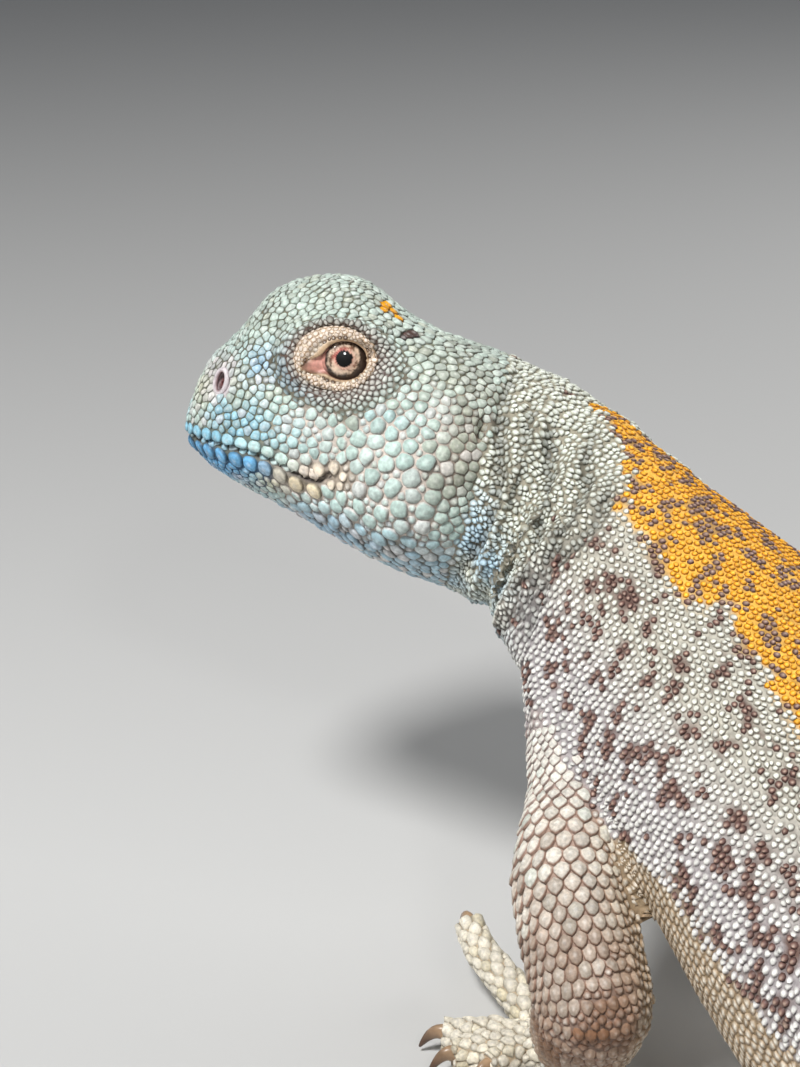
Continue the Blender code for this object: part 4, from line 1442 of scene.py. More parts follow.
# Colours, as the screen shows them
screenTones = {
    "orange": (238, 170, 56),
    "orangeEdge": (156, 96, 36),
    "orangeCentreAndHighlight": (252, 208, 112),
    "orangeGround": (240, 188, 100),
    "maroon": (122, 94, 86),
    "maroonEdge": (82, 60, 56),
    "maroonCentreAndHighlight": (190, 166, 150),
    "maroonGround": (120, 98, 88),
    "pale": (228, 228, 216),
    "paleEdge": (140, 132, 120),
    "paleLight": (246, 245, 236),
    "paleGround": (184, 180, 168),
    "mauve": (166, 160, 160),
    "white": (246, 244, 238),
    "cream": (232, 222, 200),
    "creamEdge": (172, 150, 124),
    "creamGround": (160, 140, 116),
    "neck": (222, 226, 214),
    "neckEdge": (168, 166, 150),
    "neckLight": (248, 249, 242),
    "neckGround": (160, 154, 138),
    "head": (198, 219, 211),
    "headEdge": (126, 128, 112),
    "crown": (197, 210, 200),
    "groove": (208, 196, 182),
    "throatLine": (96, 104, 98),
    "dirtAndShade": (88, 72, 56),
    "turquoise": (150, 196, 214),
    "blue": (124, 180, 220),
    "blueDeep": (86, 136, 178),
    "paleBlue": (176, 206, 226),
    "pinkWhite": (232, 220, 218),
    "yellow": (226, 210, 160),
    "rearCheek": (182, 178, 158),
    "black": (28, 22, 20),
    "armBrown": (128, 96, 74),
    "armEdge": (160, 128, 112),
    "armPink": (182, 158, 144),
    "armPlate": (227, 221, 209),
    "tan": (170, 136, 104),
    "skinDark": (84, 62, 50),
    "belly": (224, 214, 192),
    "bellyGround": (150, 132, 108),
    "tailTan": (190, 164, 130),
    "tailBrown": (116, 88, 66),
    "claw": (166, 140, 114),
    "clawTip": (92, 70, 56),
    "lidRim": (184, 158, 130),
    "lidPale": (220, 204, 184),
    "lidDeep": (88, 62, 50),
    "lidGround": (92, 76, 68),
    "lidBead": (184, 180, 172),
    "nostrilRim": (206, 198, 200),
    "nostrilDeep": (92, 34, 32),
    "mouthDeep": (52, 44, 44),
    "irisGold": (222, 198, 176),
    "irisBrown": (112, 84, 64),
    "irisRed": (196, 104, 100),
    "irisRingAndShade": (48, 36, 30),
    "eyeFlesh": (214, 158, 144),
}
tones = {name: asColour(*screen) for name, screen in screenTones.items()}


def mixed(first, second, share):
    # of two colours, or of two names of tones
    if isinstance(first, str):
        first, second = tones[first], tones[second]
    return first * (1 - share) + second * share


def tonesNamed(*names):
    return [tones[name] for name in names]


def clusterNoise(place, reach=0.46):
    # high in small clusters, lengthened down the flank
    p = Vector((place.x, place.y * 0.8, place.z * 0.7))
    return noise.noise(p * reach) + 0.5 * noise.noise(p * reach * 2.3)


# Tones of each kind of scale: those of its edge, face and middle, and that of the skin beside it.
# The darker edge is partly the scale's own rim and partly painted shade round its foot; the paler middle is
# partly its own colour and partly a painted highlight
trunkTonesShape = {
    "backBlotches": 0.14,  # the noise above which a scale is dark
    "flankBlotches": 0.24,
    "shadedTo": 14,
    "shade": 0.72,
}


def trunkTones(zone, t, angle, place):
    shape = trunkTonesShape
    own = noise.noise(place * 2.9)
    speck = clusterNoise(place, 0.52) + 0.3 * own
    # Each scale's edge tone is darker and its middle paler than its face: partly its own colour, partly
    # painted shade round its foot and a painted highlight on its middle
    maroon = tonesNamed("maroonEdge", "maroon", "maroonCentreAndHighlight")
    if zone == "orange":
        if clusterNoise(place + Vector((40, 0, 0)), 0.56) + 0.35 * own > shape["backBlotches"]:
            return maroon, mixed("maroonGround", "orangeGround", 0.35)
        return tonesNamed("orangeEdge", "orange", "orangeCentreAndHighlight"), tones["orangeGround"]
    neckShare = 1 - fade(t, 1.9, 3.0)
    if zone == "belly":
        return [tones["creamEdge"], tones["belly"], mixed("belly", "white", 0.5)], tones["bellyGround"]
    if speck > shape["flankBlotches"] + 0.5 * neckShare + 0.2 * fade(abs(angle), 78, 95):
        return maroon, mixed("maroonGround", "maroonEdge", 0.4)
    low = fade(abs(angle), 50, 75) * (1 - neckShare)
    throatBlue = 0.7 * (neckShare * fade(abs(angle), 70, 105) * (0.4 + noise.noise(place * 0.3)))
    # painted shade: the scales and skin in the neck's folds are darkened, most at the middle of each fold
    shade = 1 - shape["shade"] * creaseCloseness(place) * (place.x < shape["shadedTo"])
    rings = []
    for part, flank in (("Edge", tones["mauve"]), ("", tones["white"] * 0.8), ("Light", tones["white"])):
        tone = mixed(mixed("pale" + part, "neck" + part, neckShare), flank, low)
        blue = tones["paleBlue"] * tone.mean() / tones["paleBlue"].mean()
        rings.append(mixed(tone, blue, throatBlue) * shade)
    ground = mixed(mixed("paleGround", "neckGround", neckShare), tones["mauve"], low)
    return rings, ground * shade


headPatches = [
    # middle and reach in the head's side view, tone and strength
    ((6.0, 0.6), (8.0, 3.6), "turquoise", 0.9),
    ((2.5, -1.0), (3.0, 1.4), "yellow", 0.35),
    ((2.0, 3.0), (1.6, 3.0), "yellow", 0.5),
    ((8.6, 8.6), (2.4, 2.6), "paleBlue", 0.9),
    ((3.6, 6.0), (2.4, 2.8), "nostrilRim", 0.8),
    ((6.0, -4.4), (6.0, 2.2), "blue", 1.0),
    ((14.0, -4.4), (3.0, 1.6), "yellow", 0.6),
    ((17.5, -2.0), (2.6, 1.6), "pinkWhite", 0.7),
    ((20.0, -9.5), (7.0, 3.4), "paleBlue", 0.9),
    ((29.0, -8.0), (4.5, 2.6), "turquoise", 0.25),
    ((24.0, 6.5), (3.4, 1.6), "turquoise", 0.2),
    ((34.5, 5.0), (3.2, 7.0), "rearCheek", 0.75),
    ((33.0, -9.5), (4.5, 4.0), "paleBlue", 0.35),
    ((31.0, 13.0), (4.0, 4.0), "rearCheek", 0.3),
]
headSpots = {"orange": (21.5, 6.2, 19.4), "black": (25.2, 8.5, 16.9)}  # behind the eye


def headTones(local, place):
    x, y, z = local
    top, low = fade(z, 9, 13), fade(-z, 5.5, 8.5)
    body = mixed("head", "crown", top)
    wander = 1 + 0.3 * noise.noise(place * 0.5)
    for (px, pz), (reachX, reachZ), name, strength in headPatches:
        away = math.hypot((x - px) / reachX, (z - pz) / reachZ) * wander
        body = mixed(body, tones[name], strength * math.exp(-away ** 3))
    own = noise.noise(place * 1.7)
    body = mixed(body, tones["pinkWhite"], 0.5 * fade(own, 0.05, 0.5) * (1 - 0.7 * top))
    body = mixed(body, tones["rearCheek"], 0.5 * fade(-own, 0.12, 0.5) * fade(z, -4, 4))
    throat = tones["paleBlue" if noise.noise(place * 0.9) > -0.1 else "pinkWhite"]
    body = mixed(body, throat, 0.6 * low)
    ground = mixed(mixed("groove", "throatLine", low), tones["headEdge"], max(top, 1 - fade(x, 10, 16)))
    # Real dirt over the upper head, a darker patch at the rear of the head, and painted shade in the head's
    # creases: together they darken the skin between the scales and a little of the scales
    dirtAndShade = fade(noise.noise(place * 0.33) + 0.5 * noise.noise(place * 1.1), -0.1, 0.4) * fade(z, 4, 10)
    dirtAndShade = max(dirtAndShade, 0.8 * fade(x, 30, 34) * fade(z, -5, 0), 0.9 * creaseCloseness(place))
    ground = mixed(ground, tones["dirtAndShade"], 0.85 * dirtAndShade)
    body = body * (1 - 0.3 * dirtAndShade * fade(-own, -0.2, 0.3))
    onSide = Vector((x, abs(y), z))
    if (onSide - Vector(headSpots["orange"])).length < 1.5 + 0.8 * own:
        body, ground = tones["orange"], tones["orangeEdge"]
    if (onSide - Vector(headSpots["black"])).length < 1.0:
        body, ground = mixed("black", "maroon", 0.4), tones["black"]
    if x < 13 and z < -2.4:
        ground = mixed(tones["blueDeep"], tones["mouthDeep"], 0.6)
    paleRim = fade(x, 11, 17) * (1 - top) * (1 - 0.6 * low) * (1 - dirtAndShade)
    # The edge, darkened from the body, is partly painted shade round the plate's foot; the middle, mixed with
    # white, is partly a painted highlight
    edge = mixed(mixed(body * 0.55, ground, 0.4), mixed(body, tones["pinkWhite"], 0.7), 0.65 * paleRim)
    ground = mixed(ground, tones["pinkWhite"] * 0.7, 0.35 * paleRim)
    return [edge, body * (1 - 0.08 * paleRim), mixed(body, tones["white"], 0.35 - 0.3 * paleRim)], ground


def lipTones(local, isUpper):
    if isUpper:
        front = mixed("turquoise", "head", fade(local.x, 5, 12))
        body = mixed(front, mixed("yellow", "pinkWhite", 0.7), fade(local.x, 14, 17))
    else:
        body = mixed(tones["blue"], mixed("yellow", "pinkWhite", 0.4), fade(local.x, 11.0, 14.5))
    # The darker edge is partly painted shade round the plate's foot; the lighter face and the middle mixed
    # with white are partly a painted highlight
    rings = [body * 0.6, body * 1.08, mixed(body, tones["white"], 0.3)]
    return rings, mixed(body * 0.5, tones["mouthDeep"], 0.4)


def knobTones():
    body = mixed("yellow", "pinkWhite", 0.6)
    # The darker edge is partly painted shade round the knob's foot; the middle mixed with white is partly a
    # painted highlight
    return [body * 0.45, body, mixed(body, tones["white"], 0.5)], mixed("groove", "dirtAndShade", 0.5)


def lidTones(share, turn):
    # In each bead the darker edge is partly painted shade round its foot, and the middle mixed with white is
    # partly a painted highlight
    spot = 0.5 + 0.5 * math.sin(turn * 0.9 + share * 40) > 0.72
    if share < 0.15:
        body = mixed("lidPale", "white", 0.2)
        face = tones["lidDeep"] if spot else body
        return [tones["lidRim"] * 0.7, face, mixed(body, tones["white"], 0.4)], tones["lidRim"]
    if share < lidShape["fold"]:
        body = mixed("lidPale", "pinkWhite", 0.3)
        rings = [mixed("lidRim", "lidDeep", 0.25), body, mixed(body, tones["white"], 0.15)]
        return rings, mixed("lidRim", "lidDeep", 0.3)
    outer = fade(share, 0.55, 1.0)
    front = math.exp(-(((turn - 212) / 32) ** 2)) * fade(share, 0.45, 0.7)
    body = mixed(mixed("lidBead", "head", 0.7 * outer), tones["paleBlue"], 0.5 * front) * (1 - 0.3 * front)
    ground = mixed(mixed("lidGround", "headEdge", 0.6 * outer), tones["black"], 0.6 * front)
    return [mixed(body * 0.5, ground, 0.5), body, mixed(body, tones["white"], 0.25)], ground


def limbTones(kind, turn, along, place):
    grain = noise.noise(place * 0.9)
    # In each kind the darker edge is partly painted shade round the scale's foot, and the middle mixed with
    # white is partly a painted highlight
    if kind == "toe":
        body = mixed(mixed("cream", "white", 0.3), tones["yellow"], 0.4 * fade(grain, 0.1, 0.5))
        return [body * 0.75, body, mixed(body, tones["white"], 0.3)], mixed("creamEdge", "cream", 0.3)
    if kind == "palm":
        front = 1 - fade(place.x, 30, 40)
        body = mixed(tones["cream"], mixed("paleBlue", "mauve", 0.5), 0.12 + 0.25 * front)
        return [body * 0.6, body * 0.88, mixed(body, tones["white"], 0.2)], body * 0.6
    outerSide = 1 - fade(turn, 60, 110)
    brown = fade(along + 0.14 * noise.noise(place * 0.3), 0.32, 0.72)
    brown *= 1 - 0.3 * fade(along, 0.75, 0.95)
    brown *= 1 - fade(turn, 80, 150)
    brown *= 0.95 + 0.3 * noise.noise(place * 0.25)
    body = mixed("cream", "armPlate", outerSide)
    body = mixed(body, tones["head"], 0.35 * outerSide * fade(grain, 0.1, 0.5))
    edgeTone = mixed("creamEdge", "armEdge", outerSide)
    ground = mixed("creamGround", "armPink", outerSide)
    shoulder = (1 - fade(along + 0.1 * grain, 0.04, 0.36)) * (1 - fade(turn, 100, 150))
    body = mixed(body, tones["white"], 0.5 * shoulder)
    edgeTone = mixed(edgeTone, tones["mauve"], shoulder)
    ground = mixed(ground, tones["mauve"], shoulder)
    late = fade(along, 0.66, 0.85)
    body = mixed(body, mixed(tones["armBrown"] * 1.15, tones["tan"] * 0.85, late), min(1.0, brown))
    edgeTone = mixed(edgeTone, tones["armBrown"], 0.8 * brown)
    ground = mixed(ground, mixed("skinDark", "cream", 0.6 * late), 0.7 * brown)
    return [edgeTone, body, mixed(body, tones["white"], 0.5 * (1 - brown) + 0.12)], ground


def tailTones(kind, turn, share, place):
    band = 0.5 + 0.5 * math.sin(share * 18 + 1.5 * noise.noise(place * 0.05))
    under = fade(turn, 95, 125)
    body = mixed(mixed("tailTan", "tailBrown", 0.7 * band), tones["cream"], 0.75 * under)
    # The darker edge is partly painted shade round the scale's foot, and the paler middle is partly a painted
    # highlight
    if kind == "spine":
        return [body * 0.55, body, mixed(body, tones["cream"], 0.6)], body * 0.5
    return [body * 0.6, body * 0.95, mixed(body, tones["cream"], 0.3)], body * 0.5


def tonesOf(row):
    place, mark = row[0], row[6]
    if mark[0] == "head":
        return headTones(mark[1], place)
    if mark[0] == "lip":
        return lipTones(*mark[1:])
    if mark[0] == "knob":
        return knobTones()
    if mark[0] == "lid":
        return lidTones(*mark[1:])
    if mark[0] in ("spine", "flat"):
        return tailTones(*mark, place)
    if mark[0] in ("limb", "toe", "palm"):
        return limbTones(*mark, place)
    return trunkTones(*mark, place)


# What a scale is made of: rings of (reach, height, shift, tone), the tip's height and shift, sides, keel,
# overlap and tilt, how far it reaches where no neighbour is, how sharp its corners are, how much its rear
# edge is darkened (partly its own darker rim, partly painted shade), how uneven it is and whether its rim is
# laid on the skin
scaleStyles = {
    "pebble": {
        "rings": [(1.02, -0.12, 0.0, 0), (0.92, 0.08, 0.0, 1), (0.64, 0.22, 0.02, 2)],
        "tip": (0.28, 0.04), "sides": 8, "keel": 0.0, "overlap": 0.05, "tilt": 0.04,
        "limit": 0.54, "power": 10, "rear": 0.25, "uneven": 0.14, "laid": False,
    },
    "granule": {
        "rings": [(1.02, -0.12, 0.0, 0), (0.9, 0.10, 0.03, 1), (0.55, 0.28, 0.13, 2)],
        "tip": (0.35, 0.24), "sides": 7, "keel": 0.0, "overlap": 0.28, "tilt": 0.1,
        "limit": 0.56, "power": 9, "rear": 0.35, "uneven": 0.18, "laid": False,
    },
    "cone": {
        "rings": [(1.04, -0.12, 0.0, 0), (0.95, 0.12, 0.02, 1), (0.64, 0.32, 0.1, 2)],
        "tip": (0.34, 0.16), "sides": 7, "keel": 0.0, "overlap": 0.25, "tilt": 0.08,
        "limit": 0.62, "power": 8, "rear": 0.4, "uneven": 0.18, "laid": False,
    },
    "toePlate": {
        "rings": [(1.03, -0.05, 0.0, 0), (0.99, 0.08, 0.0, 1), (0.82, 0.19, 0.02, 2), (0.45, 0.26, 0.04, 2)],
        "tip": (0.28, 0.06), "sides": 12, "keel": 0.0, "overlap": 0.2, "tilt": 0.08,
        "limit": 0.85, "power": 14, "rear": 0.35, "uneven": 0.1, "laid": True,
    },
    "bead": {
        "rings": [(1.02, -0.14, 0.0, 0), (0.92, 0.08, 0.0, 1), (0.58, 0.24, 0.0, 2)],
        "tip": (0.3, 0.0), "sides": 10, "keel": 0.0, "overlap": 0.0, "tilt": 0.0,
        "limit": 1.2, "power": 9, "rear": 0.2, "uneven": 0.25, "laid": False,
    },
    "knob": {
        "rings": [(1.02, -0.14, 0.0, 0), (0.94, 0.08, 0.0, 1), (0.68, 0.22, 0.1, 2), (0.34, 0.3, 0.24, 2)],
        "tip": (0.32, 0.36), "sides": 10, "keel": 0.0, "overlap": 0.2, "tilt": 0.12,
        "limit": 0.6, "power": 9, "rear": 0.2, "uneven": 0.1, "laid": True,
    },
    "tile": {
        "rings": [(1.0, -0.10, 0.0, 0), (0.95, 0.03, 0.0, 1), (0.8, 0.10, 0.0, 2)],
        "tip": (0.14, 0.0), "sides": 8, "keel": 0.0, "overlap": 0.05, "tilt": 0.04,
        "limit": 0.75, "power": 14, "rear": 0.2, "uneven": 0.1, "laid": True,
    },
    "small": {
        "rings": [(1.02, -0.12, 0.0, 0), (0.90, 0.10, 0.02, 1)],
        "tip": (0.26, 0.12), "sides": 7, "keel": 0.0, "overlap": 0.1, "tilt": 0.06,
        "limit": 0.66, "power": 9, "rear": 0.3, "uneven": 0.2, "laid": False,
    },
    "plate": {
        "rings": [(1.0, -0.10, 0.0, 0), (0.965, 0.04, 0.0, 1), (0.8, 0.14, 0.0, 2), (0.45, 0.21, 0.0, 2)],
        "tip": (0.23, 0.0), "sides": 14, "keel": 0.0, "overlap": 0.0, "tilt": 0.05,
        "limit": 0.85, "power": 18, "rear": 0.5, "uneven": 0.22, "laid": True,
    },
    "lip": {
        "rings": [(1.0, -0.10, 0.0, 0), (0.96, 0.05, 0.0, 1), (0.8, 0.12, 0.0, 2), (0.42, 0.15, 0.0, 2)],
        "tip": (0.16, 0.0), "sides": 14, "keel": 0.0, "overlap": 0.0, "tilt": 0.09,
        "limit": 0.5, "power": 22, "rear": 0.5, "uneven": 0.14, "laid": True,
    },
    "belly": {
        "rings": [(1.0, -0.10, 0.0, 0), (0.95, 0.05, 0.0, 1)],
        "tip": (0.12, 0.05), "sides": 8, "keel": 0.0, "overlap": 0.05, "tilt": 0.05,
        "limit": 0.8, "power": 14, "rear": 0.2, "uneven": 0.1, "laid": False,
    },
    "keeled": {
        "rings": [(1.04, -0.08, 0.0, 0), (1.0, 0.04, 0.0, 1), (0.8, 0.11, 0.02, 2), (0.4, 0.16, 0.04, 2)],
        "tip": (0.18, 0.08), "sides": 10, "keel": 0.06, "overlap": 0.34, "tilt": 0.16,
        "limit": 0.84, "power": 12, "rear": 0.3, "uneven": 0.14, "laid": True,
    },
    "spine": {
        "rings": [(1.0, -0.12, 0.0, 0), (0.94, 0.10, 0.02, 1), (0.62, 0.34, 0.24, 2), (0.28, 0.52, 0.62, 2)],
        "tip": (0.58, 0.92), "sides": 8, "keel": 0.08, "overlap": 0.15, "tilt": 0.08,
        "limit": 0.7, "power": 10, "rear": 0.0, "uneven": 0.12, "laid": False,
    },
}
rearShadeShares = (1.0, 0.8, 0.3, 0.0)  # how much each tone is darkened at the rear
lowestScale = 0.06
mapPatch = 0.0015  # half the size of a scale's patch on the map


def unit(vectors):
    return vectors / np.linalg.norm(vectors, axis=-1, keepdims=True)


allPlaces = np.array([row[0] for group in scaleSets for row in group["rows"]])
allSizes = np.array([row[3] for group in scaleSets for row in group["rows"]])
allTree = pointTree(allPlaces)


def cellReach(rows, style, count=11):
    # how far each scale reaches in each direction before it meets its neighbours
    places = np.array([row[0] for row in rows])
    normals = unit(np.array([row[1] for row in rows]))
    lies = np.array([row[2] for row in rows])
    sizes = np.array([row[3] for row in rows])
    first = unit(lies - normals * np.sum(lies * normals, axis=1, keepdims=True))
    second = np.cross(normals, first)
    near = np.array([[hit[1] for hit in allTree.find_n(point, count)[1:]] for point in places])
    gaps = allPlaces[near] - places[:, None]
    along = np.sum(gaps * first[:, None], axis=2)
    across = np.sum(gaps * second[:, None], axis=2)
    share = sizes[:, None] / (sizes[:, None] + allSizes[near])
    flat = np.maximum(np.hypot(along, across), 0.2)
    straight = np.linalg.norm(gaps, axis=2)
    half = np.minimum(straight ** 2 / flat, 1.5 * straight) * share
    turned = np.arctan2(across, along)
    angles = 2 * np.pi * np.arange(style["sides"]) / style["sides"]
    towards = np.clip(np.cos(angles[None, :, None] - turned[:, None, :]), 0.0, 1.0)
    total = np.sum((towards / half[:, None, :]) ** style["power"], axis=2)
    total += (1 / (style["limit"] * sizes[:, None])) ** style["power"]
    return places, normals, first, second, sizes, angles, total ** (-1 / style["power"])


def buildScales(name, rows, style):
    places, normals, first, second, sizes, angles, reach = cellReach(rows, style)
    count, sides = len(rows), style["sides"]
    cos, sin = np.cos(angles), np.sin(angles)
    tone = [tonesOf(row) for row in rows]
    grounds = np.array([ground for _, ground in tone])
    colours = np.concatenate([grounds[:, None], np.array([three for three, _ in tone])], axis=1)
    draw = np.random.default_rng(len(rows))
    colours = np.clip(colours * draw.uniform(0.86, 1.1, (count, 1, 1)), 0, 1)
    bulge = sizes * draw.uniform(1 - style["uneven"], 1 + style["uneven"] * 1.5, count)
    leans = draw.normal(0.0, 0.22 * style["uneven"], (count, 2))
    points, paints = [], []
    for share, height, shift, number in style["rings"]:
        stretch = reach * share * (1 + style["overlap"] * np.maximum(cos, 0)[None] ** 2)
        lift = height * bulge[:, None] + style["tilt"] * sizes[:, None] * cos * share
        lift = lift + (leans[:, :1] * cos + leans[:, 1:] * sin) * share * sizes[:, None]
        lift = lift + style["keel"] * sizes[:, None] * np.exp(-(sin ** 2) / 0.12) * (height > 0.1)
        ring = places[:, None] + first[:, None] * (stretch * cos + shift * sizes[:, None])[..., None]
        ring = ring + second[:, None] * (reach * share * sin)[..., None]
        if style["laid"]:
            flat = [skinTree.find_nearest(Vector(p))[0] for p in ring.reshape(-1, 3)]
            ring = np.array(flat).reshape(ring.shape)
        points.append(ring + normals[:, None] * lift[..., None])
        # painted shade: each tone is darkened towards the scale's rear edge, partly as its own darker rim
        rearShade = 1 - style["rear"] * rearShadeShares[number] * np.clip(cos + 0.25, 0, 1)
        paints.append(colours[:, None, number] * rearShade[None, :, None])
    tipHeight, tipShift = style["tip"]
    tipPoint = places + normals * (tipHeight * bulge + style["keel"] * sizes)[:, None]
    tipPoint = tipPoint + first * (tipShift * sizes)[:, None]
    points = np.concatenate(points + [tipPoint[:, None]], axis=1)
    points[..., 2] = np.maximum(points[..., 2], lowestScale)
    paints = np.concatenate(paints + [colours[:, 3][:, None]], axis=1)
    perScale = len(style["rings"]) * sides + 1
    here, after = np.arange(sides), (np.arange(sides) + 1) % sides
    last = (len(style["rings"]) - 1) * sides
    quads = []
    for low in range(0, last, sides):
        high = low + sides
        quads.append(np.stack([low + here, low + after, high + after, high + here], 1))
    fans = np.stack([last + here, last + after, np.full(sides, perScale - 1)], 1)
    starts = (np.arange(count) * perScale)[:, None, None]
    quadFaces = (np.concatenate(quads)[None] + starts).reshape(-1, 4)
    fanFaces = (fans[None] + starts).reshape(-1, 3)
    mapPlaces = np.array([(row[4], row[5]) for row in rows])
    offsets = [np.stack([cos, sin], 1) * share for share, *_ in style["rings"]] + [np.zeros((1, 2))]
    uvs = (mapPlaces[:, None] * 0.99 + 0.005 + np.concatenate(offsets)[None] * mapPatch).reshape(-1, 2)
    piece = meshPiece(name, points.reshape(-1, 3), [quadFaces, fanFaces], paints.reshape(-1, 3), uvs)
    print(name, len(quadFaces) * 2 + len(fanFaces), "triangles")
    return piece, grounds


def finishPiece(piece, material, slot, *nodes):
    piece.data.materials.clear()
    piece.data.materials.append(material)
    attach(piece, "root")
    if nodes:
        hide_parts(*nodes)


# Each set of scales: its pieces, material and slot
scaleHorn = paintedMaterial("scaleHorn", 0.52, 0.4, 2400.0, 0.05)
headHorn = paintedMaterial("headHorn", 0.46, 0.45, 1900.0, 0.06)
bareSkin = paintedMaterial("bareSkin", 0.7, 0.3, 1800.0, 0.08)
clawHorn = paintedMaterial("clawHorn", 0.3, 0.5, 700.0, 0.04)
eyeGloss = paintedMaterial("eyeGloss", 0.4, 0.3, 1500.0, 0.0, coat=1.0)

pieceOf = {
    "back": (["backScalesFront", "backScalesMiddle", "backScalesRear"], scaleHorn, "torso_skin"),
    "neck": (["neckScales"], scaleHorn, "neck_skin"),
    "flanks": (["shoulderScales", "chestScales", "flankScales", "rumpScales"], scaleHorn, "torso_skin"),
    "belly": (["bellyScales"], scaleHorn, "torso_skin"),
    "lids": (["lidBeads"], headHorn, "head_skin"),
    "mouthCorners": (["mouthKnobs"], headHorn, "head_skin"),
    "limbLarge": (["armKeels", "legKeels"], scaleHorn, "limb_skin"),
    "limbSmall": (["limbGranules"], scaleHorn, "limb_skin"),
    "seams": (["seamGranules"], scaleHorn, "torso_skin"),
    "toes": (["toeScales"], scaleHorn, "limb_skin"),
    "lips": (["lipScales"], headHorn, "head_skin"),
    "head": (["headScales"], headHorn, "head_skin"),
    "tailSpines": (["tailSpines"], scaleHorn, "tail_skin"),
    "tailFlats": (["tailPlates"], scaleHorn, "tail_skin"),
}
groundTones = []
for group in scaleSets:
    names, material, slot = pieceOf[group["name"]]
    share = math.ceil(len(group["rows"]) / len(names))
    for number, name in enumerate(names):
        some = group["rows"][number * share:(number + 1) * share]
        piece, grounds = buildScales(name, some, scaleStyles[group["style"]])
        finishPiece(piece, material, slot)
        groundTones.append(grounds)
groundTones = np.concatenate(groundTones)

# Skin: thinned, then painted with the tone between the nearest scales
def finishSkin():
    applyModifier(skin, "TRIANGULATE")
    ratio = skinShape["triangles"] / len(skin.data.polygons)
    if ratio < 1:
        applyModifier(skin, "DECIMATE", ratio=ratio)
    colours = np.zeros((len(skin.data.vertices), 3))
    for vertex in skin.data.vertices:
        p = vertex.co / mm + boxMiddle
        hits = allTree.find_n(p, 3)
        weights = [1 / (hit[2] + 0.2) ** 2 for hit in hits]
        tone = sum(groundTones[hit[1]] * w for hit, w in zip(hits, weights)) / sum(weights)
        if (headBack @ p).x < headShape["length"]:
            # painted shade: the mouth line, the nostril's opening and the ear's cup are darkened; the
            # nostril's dark red is partly its own flesh
            tone = mixed(tone, tones["mouthDeep"], mouthCloseness(p))
            tone = mixed(tone, tones["nostrilRim"], 1 - fade(insideOf(p, nostrils, (1.5, 2.1)), 0.9, 1.1))
            tone = mixed(tone, tones["nostrilDeep"], nostrilCloseness(p))
            tone = mixed(tone, tones["skinDark"], 0.35 * earCloseness(p))
        colours[vertex.index] = tone
    for layer in list(skin.data.color_attributes):
        skin.data.color_attributes.remove(layer)
    paintMesh(skin.data, colours)
    bpy.ops.object.shade_smooth()
    finishPiece(skin, bareSkin, "torso_skin", *skinShape["flesh"], *skinShape["tails"])
    print("skin:", len(skin.data.polygons), "triangles")


finishSkin()


# Eyelids, painted in rings from the eyeball outwards; the dark rings against the eyeball and in the fold are
# painted shade
lidRingTones = (
    "lidDeep", "lidDeep", "lidRim", "lidRim", "lidPale",
    "lidPale", "lidDeep", "lidGround", "lidGround", "headEdge",
)


def buildLids(name, side):
    grid, shares = lidGrids[side]
    turns, rings = grid.shape[:2]
    fold = lidShape["fold"]
    ladder = (-0.02, -0.01, 0.0, 0.05, 0.1, fold - 0.05, fold, fold + 0.04, 0.75, 1.0)
    ladderTones = np.array(tonesNamed(*lidRingTones))
    paint = np.stack([np.interp(shares, ladder, ladderTones[:, c]) for c in range(3)], 1)
    paint = np.repeat(paint[None], turns, 0)
    # painted shade: the rings against the eyeball stay dark, with pink flesh only at the front corner, where
    # the lid's edge is darkened too
    for i in range(turns):
        front = math.exp(-((cornerTurn(2 * math.pi * i / turns) / 0.6) ** 2))
        paint[i, 0] = mixed("lidDeep", "eyeFlesh", front)
        paint[i, 1] = mixed("lidDeep", "eyeFlesh", 0.75 * front)
        paint[i, 2] = mixed(paint[i, 2], tones["lidDeep"], 0.6 * front)
    i, j = np.meshgrid(np.arange(turns), np.arange(rings - 1), indexing="ij")
    a, b = i * rings + j, (i + 1) % turns * rings + j
    faces = np.stack([a, b, b + 1, a + 1] if side > 0 else [a, a + 1, b + 1, b], 2).reshape(-1, 4)
    uvs = np.stack([np.repeat(np.arange(turns) / turns, rings), np.tile(np.clip(shares, 0, 1), turns)], 1)
    piece = meshPiece(name, grid.reshape(-1, 3), [faces], paint.reshape(-1, 3), uvs)
    finishPiece(piece, headHorn, "head_skin")


for name, side in (("eyelids_l", -1), ("eyelids_r", 1)):
    buildLids(name, side)
print("eyelids built")

# Eyes
eyeShape = {
    "pupil": 1.0,
    "pupilMiddle": (0.6, 0.42),
    "irisMiddle": (0.7, 0.28),
    "redRing": 1.5,
    "darkRing": 1.8,
    "outer": 2.42,
    "segments": 120,
    "rings": 90,
}


